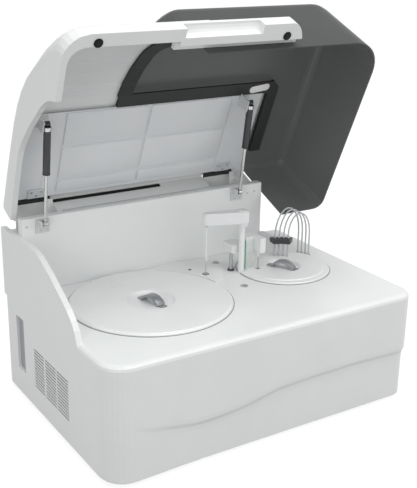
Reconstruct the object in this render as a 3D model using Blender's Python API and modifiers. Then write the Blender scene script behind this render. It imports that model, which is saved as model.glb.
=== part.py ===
"""Benchtop chemistry analyzer with its cover raised, modelled in metres, +Z up.

The origin is at the middle of the footprint, on the bench. +X is the operator's right and the
front of the machine faces -Y. The cover's pieces are described where they lie with the cover
shut and hang from an empty on the hinge axis, which is turned to hold the cover open.
"""
import math

import bmesh
import bpy
from mathutils import Matrix, Vector

# Casing
GAP = 0.0003
CASE_W = 0.860
CASE_D = 0.594
FOOT_H = 0.010
DECK_Z = 0.292
SHELL_T = 0.010
DECK_T = 0.004
CORNER_FRONT_LEFT = 0.060
CORNER_FRONT_RIGHT = 0.045
CORNER_REAR = 0.018
DECK_EDGE_R = 0.012
SKIRT_STEP = 0.006
FOOT_R = 0.018
FOOT_INSET_X = 0.070
FOOT_INSET_Y = 0.060
BASE_T = 0.003

# Height of the step across the front above the bottom edge, from the left end to the right
STEP_LINE = (
    (-0.430, 0.160), (-0.353, 0.123), (-0.208, 0.097), (-0.123, 0.101), (-0.057, 0.110),
    (0.000, 0.124), (0.103, 0.129), (0.252, 0.131), (0.430, 0.124),
)

# Raised left side: distance behind the front face and height above the deck
WING_T = 0.014
WING_LINE = (
    (0.154, -0.004), (0.158, 0.008), (0.166, 0.025), (0.182, 0.044), (0.204, 0.062),
    (0.240, 0.083), (0.293, 0.112), (0.353, 0.139), (0.380, 0.1455), (0.412, 0.148),
    (0.480, 0.147), (0.560, 0.144),
)

# Hinge wall across the back
WALL_FRONT_Y = 0.187
WALL_TOP_Z = 0.480
WALL_T = 0.025
WALL_SKIN = 0.004
WALL_LEDGE_Z = 0.425
WALL_END_X = 0.288
SEAL_H = 0.0035
SEAL_W = 0.008
SEAL_LEFT_X = -0.300
SEAL_RIGHT_X = 0.140

# Left side openings
VENT_COLUMNS = ((-0.086, -0.022), (-0.017, 0.045), (0.053, 0.113))
VENT_BOTTOM_Z = 0.074
VENT_PITCH = 0.0082
VENT_SLOT_H = 0.0042
VENT_SLOTS = 13
POCKET_Y = 0.1985
POCKET_W = 0.047
POCKET_Z = 0.153
POCKET_H = 0.146
POCKET_DEPTH = 0.007

# Rear panel
PANEL_W = 0.690
PANEL_H = 0.225
PANEL_Z = 0.1475
PANEL_T = 0.002
PANEL_RECESS = 0.0026
PANEL_LIP = 0.014
FAN_X = -0.210
FAN_Z = 0.150
FAN_SIZE = 0.080
FAN_BORE_R = 0.036
FAN_DEPTH = 0.024
FAN_HUB_R = 0.016
FAN_BLADES = 5
GRILLE_PITCH = 0.009
GRILLE_SLOT = 0.0055
INLET_X = 0.240
INLET_Z = 0.105
INLET_W = 0.030
INLET_H = 0.052
INLET_DEPTH = 0.030
ROCKER_R = 0.0085
ROCKER_W = 0.012
ROCKER_DROP = 0.014

# Sample and reagent carousel
REAGENT_X = -0.176
REAGENT_Y = -0.016
REAGENT_COVER_R = 0.200
REAGENT_WELL_R = 0.182
REAGENT_WELL_DEPTH = 0.125
REAGENT_ROTOR_GAP = 0.006
REAGENT_DISH_R = 0.061
BOTTLES = 14
BOTTLE_R = 0.016
BOTTLE_RING_R = 0.145

# Reaction carousel
REACTION_X = 0.242
REACTION_Y = 0.013
REACTION_COVER_R = 0.124
REACTION_WELL_R = 0.098
REACTION_WELL_DEPTH = 0.060
REACTION_DISH_R = 0.049
CUVETTE_RING_R = 0.0735
CUVETTES = 20
CUVETTE_R = 0.0062

COVER_T = 0.007
COVER_RIM_T = 0.0035
COVER_DISH = 0.006
COVER_LIP = 0.006
WELL_T = 0.003
MOTOR_SIZE = 0.056
MOTOR_H = 0.050
MOTOR_SHAFT_R = 0.005
HANDLE_L = 0.070
HANDLE_W = 0.016
HANDLE_H = 0.020
HANDLE_T = 0.005

# Round plate between the carousels
PLATE_X = 0.000
PLATE_Y = 0.098
PLATE_R = 0.093
PLATE_T = 0.004
PLATE_MARGIN = 0.003

# Sampling arm
SAMPLER_X = 0.125
SAMPLER_Y = 0.040
SAMPLER_COLUMN_R = 0.008
SAMPLER_REACH = 0.0959
SAMPLER_ANGLE = 163.6
SAMPLER_ARM_Z = 0.431
SAMPLER_ARM_H = 0.031
SAMPLER_HUB_R = 0.017
SAMPLER_TIP_R = 0.0105
SPIGOT_R = 0.004
SPIGOT_H = 0.012
PROBE_R = 0.0014
PROBE_LIFT = 0.0018
WASH_HOLE_R = 0.0062

# Mixing block
MIXER_X = 0.112
MIXER_Y = 0.068
MIXER_SHAFT_R = 0.005
MIXER_REAR_Y = 0.072
MIXER_Z = 0.345
MIXER_H = 0.040
MIXER_LOW_H = 0.022
STIRRER_R = 0.0018
STIRRER_LEFT = (0.124, 0.084)
STIRRER_RIGHT = (0.170, 0.027)
GUARD_LEFT_X = 0.1345
GUARD_RIGHT_X = 0.1655
GUARD_Y = 0.0400
GUARD_T = 0.003
GUARD_TOP_Z = 0.379
RUN_CLEAR = 0.0004

# Wash station
WASH_ANGLES = (72.0, 62.6, 53.2, 43.8)
WASH_BAR_Z = 0.338
WASH_BAR_T = 0.012
WASH_BAR_HALF_W = 0.013
WASH_TUBE_R = 0.0022
WASH_TIP_Z = 0.2905
WASH_TOP_Z = 0.430
WASH_TAIL_Z = 0.262
WASH_TAIL_R = 0.1315
WASH_TAIL_ANGLES = (34.9, 30.1, 25.4, 20.7)
WASH_POST_X = 0.268
WASH_POST_Y = 0.148
WASH_POST_R = 0.005

# Cover hinge
HINGE_Y = 0.278
HINGE_Z = 0.500
OPEN_ANGLE = 67.0
HINGE_W = 0.090
HINGE_XS = (-0.350, 0.200)
KNUCKLE_R = 0.0050
PIN_R = 0.0022
LEAF_T = 0.0022
HINGE_NOTCH_GAP = 0.004

# Cover
LID_GAP = 0.0035
LID_TOP = (
    (0.290, 0.4965), (0.2885, 0.5025), (0.284, 0.5065), (0.278, 0.508), (0.190, 0.507),
    (0.100, 0.5045), (0.030, 0.5005), (-0.020, 0.493), (-0.060, 0.482), (-0.105, 0.463),
    (-0.151, 0.438), (-0.222, 0.397), (-0.262, 0.367), (-0.284, 0.346), (-0.294, 0.334),
    (-0.297, 0.322),
)
LID_T = 0.004
LID_SIDE_T = 0.014
LID_FRONT_T = 0.030
LID_EDGE_R = 0.022
LID_INNER_R = 0.006
LID_CORNER_R = 0.060
LID_RIGHT_X = 0.2835
LID_FRONT_X = -0.155
LID_STEP_Y = -0.003
BAR_DEPTH = 0.041
BAR_TOP_Z = 0.328
BAR_WEB_T = 0.010
BAR_END_FRONT_X = 0.131
BAR_END_REAR_X = 0.170
GRIP_LEFT_X = -0.150
GRIP_RIGHT_X = 0.050
GRIP_R = 0.024
BUMPER_R = 0.007
BUMPERS = ((-0.354, -0.276), (0.120, -0.266))

LINER_Z = 0.4855
LINER_T = 0.0025
LINER_FRONT_Y = 0.0165
LINER_REAR_Y = 0.262
LINER_RIGHT_X = 0.262
GROOVE_W = 0.003
GROOVE_D = 0.0012
CHANNEL_W = 0.048
CHANNEL_FRONT_Y = 0.066
LINER_GROOVES_X = (-0.300, -0.073, 0.170)
LINER_GROOVES_Y = (0.115, 0.215)

# Smoked hood
HOOD_TOP_Z = 0.510
HOOD_T = 0.003
HOOD_FRONT_Y = -0.235
HOOD_REAR_Y = 0.289
HOOD_LEFT_X = -0.150
HOOD_RIGHT_X = 0.430
HOOD_REAR_LEFT_X = 0.291
HOOD_CORNER_R = 0.090
HOOD_REAR_R = 0.028
HOOD_EDGE_R = 0.024
HOOD_FRONT_LEFT_R = 0.075
HOOD_LEAN = 0.68
HOOD_LEVELS = (0.0, 0.50, 0.66, 0.78, 0.87, 0.93, 0.965, 0.988, 1.0)
RIM_Z = 0.4835
RIM_H = 0.010
RIM_W = 0.034
RIM_RIGHT_X = 0.3105
RIM_REAR_Y = 0.207
RIM_ARM_LEFT_X = -0.172
RIM_ARM_RIGHT_X = -0.135
RIM_ARM_FRONT_Y = -0.192
RIM_ARM_END_X = -0.060
RIM_ARM_T = 0.006

# Gas struts
STRUT_XS = (-0.362, 0.205)
STRUT_BASE_Y = 0.172
STRUT_BASE_Z = 0.468
STRUT_LID_Y = 0.020
STRUT_LID_Z = 0.452
STRUT_TUBE_R = 0.0090
STRUT_ROD_R = 0.0040
STRUT_EYE_R = 0.0070
STRUT_EYE_W = 0.0100
STRUT_STUD_R = 0.0030
STRUT_TUBE_START = 0.006
STRUT_TUBE_END = 0.125
STRUT_ROD_L = 0.1365
BRACKET_T = 0.003
STUD_REACH = 0.0055

# Boards and supplies
SUPPLY_SIZE = (0.150, 0.090, 0.060)
SUPPLY_X = 0.060
SUPPLY_Y = 0.215
BOARD_SIZE = (0.240, 0.140, 0.0020)
BOARD_X = 0.245
BOARD_Y = -0.175
STANDOFF_R = 0.004
STANDOFF_H = 0.012

# Values that follow from the sizes above
FRONT_Y = -CASE_D / 2
REAR_Y = CASE_D / 2
LEFT_X = -CASE_W / 2
RIGHT_X = CASE_W / 2
DECK_UNDER_Z = DECK_Z - DECK_T
HINGE = Vector((0.0, HINGE_Y, HINGE_Z))

NAME = "chemistry_analyzer"
PALETTE = {
    "body_white": ((0.88, 0.88, 0.88), 0.35, 0.0),
    "inner_white": ((0.72, 0.73, 0.75), 0.45, 0.0),
    "smoked": ((0.09, 0.095, 0.095), 0.15, 0.0),
    "rim_dark": ((0.03, 0.03, 0.03), 0.45, 0.0),
    "rubber": ((0.02, 0.02, 0.02), 0.85, 0.0),
    "steel": ((0.62, 0.62, 0.62), 0.30, 1.0),
    "strut_black": ((0.035, 0.035, 0.04), 0.35, 0.0),
    "handle_grey": ((0.45, 0.46, 0.47), 0.40, 0.0),
    "clear": ((0.75, 0.82, 0.78), 0.08, 0.0),
    "board_green": ((0.03, 0.18, 0.09), 0.50, 0.0),
    "zinc": ((0.55, 0.56, 0.57), 0.45, 1.0),
    "black_plastic": ((0.03, 0.03, 0.03), 0.50, 0.0),
}


def clear_scene():
    """Remove whatever the file holds, so that only this model is left."""
    for old in list(bpy.data.objects):
        bpy.data.objects.remove(old, do_unlink=True)
    for group in list(bpy.data.collections):
        bpy.data.collections.remove(group)


clear_scene()
PARTS = bpy.data.collections.new(NAME)
CUTTERS = bpy.data.collections.new(NAME + "_cutters")
bpy.context.scene.collection.children.link(PARTS)
bpy.context.scene.collection.children.link(CUTTERS)


def finish(key):
    """Give the material of one finish, made on first use."""
    found = bpy.data.materials.get(key)
    if found:
        return found
    colour, roughness, metallic = PALETTE[key]
    made = bpy.data.materials.new(key)
    made.use_nodes = True
    shader = made.node_tree.nodes["Principled BSDF"]
    shader.inputs["Base Color"].default_value = (*colour, 1.0)
    shader.inputs["Roughness"].default_value = roughness
    shader.inputs["Metallic"].default_value = metallic
    return made


def pivot(name, place, turn=0.0):
    """Make an empty on a joint's axis, turned about X by an angle in degrees."""
    empty = bpy.data.objects.new(name, None)
    empty.empty_display_size = 0.03
    empty.location = place
    empty.rotation_euler = (math.radians(turn), 0.0, 0.0)
    PARTS.objects.link(empty)
    return empty


def hang(obj, parent):
    """Parent a piece described in the machine's coordinates to an empty on its axis."""
    if parent is not None:
        obj.parent = parent
        obj.matrix_parent_inverse = Matrix.Translation(-Vector(parent.location))


def add(name, mesh, key, parent=None, cutter=False, place=(0.0, 0.0, 0.0)):
    """Make an object of a mesh, as a piece or as a cutter."""
    obj = bpy.data.objects.new(name, mesh)
    obj.location = place
    if cutter:
        CUTTERS.objects.link(obj)
        obj.hide_render = True
        obj.display_type = "WIRE"
    else:
        PARTS.objects.link(obj)
        obj.data.materials.clear()
        obj.data.materials.append(finish(key))
    hang(obj, parent)
    return obj


def block(name, low, high, key=None, parent=None, bevel=0.0, segments=2, cutter=False):
    """Make a box between two corners, with rounded edges where a bevel is given."""
    size = [b - a for a, b in zip(low, high)]
    middle = [(a + b) / 2 for a, b in zip(low, high)]
    mesh = bpy.data.meshes.new(name)
    form = bmesh.new()
    bmesh.ops.create_cube(form, size=1.0, matrix=Matrix.Diagonal((*size, 1.0)))
    form.to_mesh(mesh)
    form.free()
    obj = add(name, mesh, key, parent, cutter, middle)
    if bevel:
        soften(obj, bevel, segments)
    return obj


def soften(obj, width, segments=2):
    """Round the sharp edges of a piece."""
    bevel = obj.modifiers.new("edge", "BEVEL")
    bevel.width = width
    bevel.segments = segments
    bevel.limit_method = "ANGLE"
    bevel.angle_limit = math.radians(40)


def turned(form, radius, length, sides, centre, axis="Z"):
    """Add a cylinder to a bmesh, along X, Y or Z."""
    spin = {"Z": Matrix(), "X": Matrix.Rotation(math.pi / 2, 4, "Y")}.get(axis)
    if spin is None:
        spin = Matrix.Rotation(math.pi / 2, 4, "X")
    bmesh.ops.create_cone(form, cap_ends=True, segments=sides, radius1=radius, radius2=radius,
                          depth=length, matrix=Matrix.Translation(centre) @ spin)


def cylinder(name, radius, low, high, x, y, key=None, parent=None, sides=16, cutter=False):
    """Make an upright cylinder between two heights."""
    mesh = bpy.data.meshes.new(name)
    form = bmesh.new()
    turned(form, radius, high - low, sides, (0.0, 0.0, 0.0))
    form.to_mesh(mesh)
    form.free()
    return add(name, mesh, key, parent, cutter, (x, y, (low + high) / 2))


def lying(name, radius, low, high, y, z, key=None, parent=None, sides=16, cutter=False):
    """Make a cylinder along X between two x positions."""
    mesh = bpy.data.meshes.new(name)
    form = bmesh.new()
    turned(form, radius, high - low, sides, (0.0, 0.0, 0.0), "X")
    form.to_mesh(mesh)
    form.free()
    return add(name, mesh, key, parent, cutter, ((low + high) / 2, y, z))


def as_mesh(curve_obj, key, parent, cutter):
    """Turn a curve into a mesh piece with welded caps and remove the curve."""
    bpy.context.view_layer.update()
    graph = bpy.context.evaluated_depsgraph_get()
    mesh = bpy.data.meshes.new_from_object(curve_obj.evaluated_get(graph))
    form = bmesh.new()
    form.from_mesh(mesh)
    bmesh.ops.remove_doubles(form, verts=form.verts, dist=0.00001)
    form.to_mesh(mesh)
    form.free()
    name = curve_obj.name
    matrix = curve_obj.matrix_world.copy()
    data = curve_obj.data
    bpy.data.objects.remove(curve_obj, do_unlink=True)
    bpy.data.curves.remove(data)
    obj = add(name, mesh, key, None, cutter)
    obj.matrix_world = matrix
    hang(obj, parent)
    return obj


PLANES = {
    "XY": Matrix.Identity(4),
    "YZ": Matrix(((0, 0, 1, 0), (1, 0, 0, 0), (0, 1, 0, 0), (0, 0, 0, 1))),
    "XZ": Matrix(((1, 0, 0, 0), (0, 0, -1, 0), (0, 1, 0, 0), (0, 0, 0, 1))),
}


def extruded(name, outline, low, high, plane="XY", key=None, parent=None, cutter=False):
    """Extrude a flat outline between two positions across its plane."""
    curve = bpy.data.curves.new(name, "CURVE")
    curve.dimensions = "2D"
    curve.fill_mode = "BOTH"
    curve.extrude = (high - low) / 2
    spline = curve.splines.new("POLY")
    spline.points.add(len(outline) - 1)
    for point, (a, b) in zip(spline.points, outline):
        point.co = (a, b, 0.0, 1.0)
    spline.use_cyclic_u = True
    obj = bpy.data.objects.new(name, curve)
    bpy.context.scene.collection.objects.link(obj)
    middle = (low + high) / 2
    shift = {"XY": (0, 0, middle), "YZ": (middle, 0, 0), "XZ": (0, middle, 0)}[plane]
    obj.matrix_world = Matrix.Translation(shift) @ PLANES[plane]
    return as_mesh(obj, key, parent, cutter)


def tube(name, points, radius, key, parent=None, resolution=2):
    """Run a round tube with closed ends through a list of points."""
    curve = bpy.data.curves.new(name, "CURVE")
    curve.dimensions = "3D"
    curve.bevel_depth = radius
    curve.bevel_resolution = resolution
    curve.use_fill_caps = True
    spline = curve.splines.new("POLY")
    spline.points.add(len(points) - 1)
    for point, place in zip(spline.points, points):
        point.co = (*place, 1.0)
    obj = bpy.data.objects.new(name, curve)
    bpy.context.scene.collection.objects.link(obj)
    return as_mesh(obj, key, parent, False)


def revolved(name, profile, x, y, key, parent=None, sides=40, closed=False):
    """Turn a profile of radius and height pairs about an upright axis."""
    mesh = bpy.data.meshes.new(name)
    form = bmesh.new()
    points = [form.verts.new((r, 0.0, z)) for r, z in profile]
    for first, second in zip(points, points[1:]):
        form.edges.new((first, second))
    if closed:
        form.edges.new((points[-1], points[0]))
    form.to_mesh(mesh)
    form.free()
    obj = add(name, mesh, key, parent, False, (x, y, 0.0))
    screw = obj.modifiers.new("turn", "SCREW")
    screw.angle = 2 * math.pi
    screw.steps = sides
    screw.render_steps = sides
    screw.use_merge_vertices = True
    screw.merge_threshold = 0.00001
    return obj


def loft(name, rings, key=None, parent=None, cutter=False, place=(0.0, 0.0, 0.0)):
    """Skin a row of closed sections that have the same number of points and cap both ends."""
    mesh = bpy.data.meshes.new(name)
    form = bmesh.new()
    rows = [[form.verts.new(point) for point in ring] for ring in rings]
    for lower, upper in zip(rows, rows[1:]):
        for index in range(len(lower)):
            after = (index + 1) % len(lower)
            form.faces.new((lower[index], lower[after], upper[after], upper[index]))
    form.faces.new(rows[0][::-1])
    form.faces.new(rows[-1])
    bmesh.ops.recalc_face_normals(form, faces=form.faces)
    form.to_mesh(mesh)
    form.free()
    return add(name, mesh, key, parent, cutter, place)


def cut(piece, cutter, operation="DIFFERENCE"):
    """Cut a piece with a cutter, or join the cutter's form to it."""
    step = piece.modifiers.new(cutter.name, "BOOLEAN")
    step.operation = operation
    step.solver = "EXACT"
    step.object = cutter
    return piece


def join(piece, cutter):
    """Join a second form to a piece as one body."""
    return cut(piece, cutter, "UNION")


def many(name, boxes, parent=None):
    """Make one cutter of several separate boxes."""
    mesh = bpy.data.meshes.new(name)
    form = bmesh.new()
    for low, high in boxes:
        size = [b - a for a, b in zip(low, high)]
        middle = [(a + b) / 2 for a, b in zip(low, high)]
        bmesh.ops.create_cube(form, size=1.0,
                              matrix=Matrix.Translation(middle) @ Matrix.Diagonal((*size, 1.0)))
    form.to_mesh(mesh)
    form.free()
    return add(name, mesh, None, parent, True)


def drills(name, holes, low, high, sides=12, parent=None):
    """Make one cutter of several upright cylinders given as x, y and radius."""
    mesh = bpy.data.meshes.new(name)
    form = bmesh.new()
    for x, y, radius in holes:
        turned(form, radius, high - low, sides, (x, y, (low + high) / 2))
    form.to_mesh(mesh)
    form.free()
    return add(name, mesh, None, parent, True)


def smoothstep(value):
    """Ease a value from 0 to 1."""
    value = max(0.0, min(1.0, value))
    return value * value * (3 - 2 * value)


def eased(line, x):
    """Read an eased height off a line of points sorted by x."""
    if x <= line[0][0]:
        return line[0][1]
    for (x0, z0), (x1, z1) in zip(line, line[1:]):
        if x <= x1:
            return z0 + (z1 - z0) * (x - x0) / (x1 - x0)
    return line[-1][1]


def straight(line, x):
    """Read a height off a line of points sorted by falling x."""
    if x >= line[0][0]:
        return line[0][1]
    for (x0, z0), (x1, z1) in zip(line, line[1:]):
        if x >= x1:
            return z0 + (z1 - z0) * (x - x0) / (x1 - x0) if x0 != x1 else z0
    return line[-1][1]


def shifted(line, distance):
    """Move an open line sideways, to the left of its direction."""
    moved = []
    for index, (a, b) in enumerate(line):
        before = line[max(0, index - 1)]
        after = line[min(len(line) - 1, index + 1)]
        run, rise = after[0] - before[0], after[1] - before[1]
        length = math.hypot(run, rise)
        moved.append((a - rise / length * distance, b + run / length * distance))
    return moved


def rounded(x0, x1, y0, y1, radii, segments, splits=(1, 1, 1, 1)):
    """Outline a rectangle with rounded corners as x, y and outward normal.

    The corners run front left, front right, rear right, rear left, and the sides front, right,
    rear, left.
    """
    corners = ((x0, y0, 180), (x1, y0, 270), (x1, y1, 0), (x0, y1, 90))
    signs = ((1, 1), (-1, 1), (-1, -1), (1, -1))
    arcs = []
    for (cx, cy, start), (sx, sy), radius, count in zip(corners, signs, radii, segments):
        arc = []
        for step in range(count + 1):
            angle = math.radians(start + 90 * step / count)
            nx, ny = math.cos(angle), math.sin(angle)
            arc.append((cx + sx * radius + radius * nx, cy + sy * radius + radius * ny, nx, ny))
        arcs.append(arc)
    outline = []
    for index, arc in enumerate(arcs):
        outline += arc
        following = arcs[(index + 1) % 4][0]
        last = arc[-1]
        for step in range(1, splits[index]):
            part = step / splits[index]
            outline.append((last[0] + (following[0] - last[0]) * part,
                            last[1] + (following[1] - last[1]) * part, last[2], last[3]))
    return outline


def on_ring(x, y, radius, angle):
    """Give the point at an angle in degrees on a circle."""
    return (x + radius * math.cos(math.radians(angle)), y + radius * math.sin(math.radians(angle)))


# Casing

def case_rings():
    """Sections of the casing from its bottom edge to the deck, with the step on its skirt."""
    outline = rounded(LEFT_X, RIGHT_X, FRONT_Y, REAR_Y,
                      (CORNER_FRONT_LEFT, CORNER_FRONT_RIGHT, CORNER_REAR, CORNER_REAR),
                      (8, 7, 3, 3), (20, 2, 1, 1))
    levels = (("base", 0.0, -0.003, 1.0), ("base", 0.003, 0.0, 1.0), ("step", -0.018, 0.0, 1.0),
              ("step", -0.006, 0.0, 0.92), ("step", -0.001, 0.0, 0.50), ("step", 0.004, 0.0, 0.12),
              ("step", 0.014, 0.0, 0.0), ("top", -DECK_EDGE_R, 0.0, 0.0))
    turns = (30, 60, 90)
    rings = []
    for kind, rise, push, share in levels:
        ring = []
        for x, y, nx, ny in outline:
            weight = smoothstep((x + 0.40) / 0.22) * (1 - max(0.0, ny))
            start = {"base": FOOT_H, "step": FOOT_H + eased(STEP_LINE, x), "top": DECK_Z}[kind]
            offset = push - weight * share * SKIRT_STEP
            ring.append((x + nx * offset, y + ny * offset, start + rise))
        rings.append(ring)
    for turn in turns:
        angle = math.radians(turn)
        offset = -DECK_EDGE_R * (1 - math.cos(angle))
        height = DECK_Z - DECK_EDGE_R * (1 - math.sin(angle))
        rings.append([(x + nx * offset, y + ny * offset, height) for x, y, nx, ny in outline])
    return rings


def wing_line():
    """Top edge of the raised left side as y and z, from front to back."""
    return [(FRONT_Y + back, DECK_Z + rise) for back, rise in WING_LINE]


def cavity_outline(inset):
    """Plan of the hollow inside the casing."""
    loop = rounded(LEFT_X + inset, RIGHT_X - inset, FRONT_Y + inset, REAR_Y - inset,
                   (CORNER_FRONT_LEFT - 0.01, CORNER_FRONT_RIGHT - 0.01, 0.010, 0.010),
                   (5, 5, 2, 2))
    return [(x, y) for x, y, nx, ny in loop]


def deck_holes():
    """Holes through the deck as x, y and radius."""
    reaction_tails = [(*on_ring(REACTION_X, REACTION_Y, WASH_TAIL_R, angle), WASH_TUBE_R + 0.0006)
                      for angle in WASH_TAIL_ANGLES]
    probe = on_ring(SAMPLER_X, SAMPLER_Y, SAMPLER_REACH, SAMPLER_ANGLE)
    return [
        (SAMPLER_X, SAMPLER_Y, SAMPLER_COLUMN_R + RUN_CLEAR),
        (MIXER_X, MIXER_Y, MIXER_SHAFT_R + RUN_CLEAR),
        (WASH_POST_X, WASH_POST_Y, WASH_POST_R + RUN_CLEAR),
        (*probe, WASH_HOLE_R),
        (*on_ring(SAMPLER_X, SAMPLER_Y, SAMPLER_REACH, 100.5), WASH_HOLE_R),
        (*on_ring(SAMPLER_X, SAMPLER_Y, SAMPLER_REACH, 241.0), WASH_HOLE_R),
        (*STIRRER_LEFT, WASH_HOLE_R),
        *reaction_tails,
    ]


def build_casing():
    """Make the moulded housing with its raised side, and what stands under and behind it."""
    housing = loft("main_housing", case_rings(), "body_white")
    line = wing_line()
    low = DECK_Z - 0.035
    wing = extruded("wing_form", [(line[0][0] - 0.004, low)] + line
                    + [(REAR_Y, line[-1][1]), (REAR_Y, low)],
                    LEFT_X, LEFT_X + WING_T, "YZ", cutter=True)
    join(housing, wing)
    cavity = extruded("cavity_form", cavity_outline(SHELL_T), FOOT_H - 0.01, DECK_UNDER_Z,
                      cutter=True)
    cut(housing, cavity)
    wells = drills("well_forms", [(REAGENT_X, REAGENT_Y, REAGENT_WELL_R),
                                  (REACTION_X, REACTION_Y, REACTION_WELL_R)],
                   DECK_UNDER_Z - 0.01, DECK_Z + 0.01, 40)
    cut(housing, wells)
    cut(housing, drills("deck_hole_forms", deck_holes(), DECK_UNDER_Z - 0.01, DECK_Z + 0.01))
    slots = []
    for start, end in VENT_COLUMNS:
        for index in range(VENT_SLOTS):
            bottom = VENT_BOTTOM_Z + index * VENT_PITCH
            slots.append(((LEFT_X - 0.01, start, bottom),
                          (LEFT_X + SHELL_T + 0.01, end, bottom + VENT_SLOT_H)))
    cut(housing, many("vent_forms", slots))
    pocket = block("pocket_form", (LEFT_X - 0.01, POCKET_Y - POCKET_W / 2, POCKET_Z - POCKET_H / 2),
                   (LEFT_X + POCKET_DEPTH, POCKET_Y + POCKET_W / 2, POCKET_Z + POCKET_H / 2),
                   cutter=True)
    cut(housing, pocket)
    recess = block("recess_form", (-PANEL_W / 2, REAR_Y - PANEL_RECESS, PANEL_Z - PANEL_H / 2),
                   (PANEL_W / 2, REAR_Y + 0.01, PANEL_Z + PANEL_H / 2), cutter=True)
    window = block("window_form",
                   (-PANEL_W / 2 + PANEL_LIP, REAR_Y - SHELL_T - 0.01,
                    PANEL_Z - PANEL_H / 2 + PANEL_LIP),
                   (PANEL_W / 2 - PANEL_LIP, REAR_Y + 0.01, PANEL_Z + PANEL_H / 2 - PANEL_LIP),
                   cutter=True)
    cut(housing, recess)
    cut(housing, window)

    base = extruded("base_plate", cavity_outline(SHELL_T + GAP), FOOT_H, FOOT_H + BASE_T,
                    key="zinc")
    for front, y in (("front", FRONT_Y + FOOT_INSET_Y), ("rear", REAR_Y - FOOT_INSET_Y)):
        for side, x in (("left", LEFT_X + FOOT_INSET_X), ("right", RIGHT_X - FOOT_INSET_X)):
            foot = cylinder("foot_" + front + "_" + side, FOOT_R, 0.0, FOOT_H - GAP, x, y,
                            "rubber", sides=20)
            soften(foot, 0.0015, 1)
    return base


def build_hinge_wall():
    """Make the wall that carries the cover, its seal and the low parts of the hinges."""
    left = LEFT_X + WING_T + GAP
    bottom = DECK_Z + GAP
    back = WALL_FRONT_Y + WALL_T
    edge = 0.004
    outline = [(WALL_FRONT_Y, bottom), (REAR_Y - 0.002, bottom), (REAR_Y - 0.002, WALL_LEDGE_Z),
               (back, WALL_LEDGE_Z), (back, WALL_TOP_Z - 0.002), (back - 0.002, WALL_TOP_Z)]
    for step in range(5):
        angle = math.radians(90 + 90 * step / 4)
        outline.append((WALL_FRONT_Y + edge + edge * math.cos(angle),
                        WALL_TOP_Z - edge + edge * math.sin(angle)))
    wall = extruded("hinge_wall", outline, left, WALL_END_X, "YZ", key="body_white")
    hollow = [(WALL_FRONT_Y + WALL_SKIN, bottom - 0.01), (REAR_Y - 0.002 - WALL_SKIN, bottom - 0.01),
              (REAR_Y - 0.002 - WALL_SKIN, WALL_LEDGE_Z - WALL_SKIN),
              (back - WALL_SKIN, WALL_LEDGE_Z - WALL_SKIN),
              (back - WALL_SKIN, WALL_TOP_Z - WALL_SKIN),
              (WALL_FRONT_Y + WALL_SKIN, WALL_TOP_Z - WALL_SKIN)]
    cut(wall, extruded("wall_hollow_form", hollow, left + WALL_SKIN, WALL_END_X - WALL_SKIN,
                       "YZ", cutter=True))
    block("wall_seal", (SEAL_LEFT_X, back - SEAL_W - 0.003, WALL_TOP_Z + GAP),
          (SEAL_RIGHT_X, back - 0.003, WALL_TOP_Z + SEAL_H), "rubber")


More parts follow.
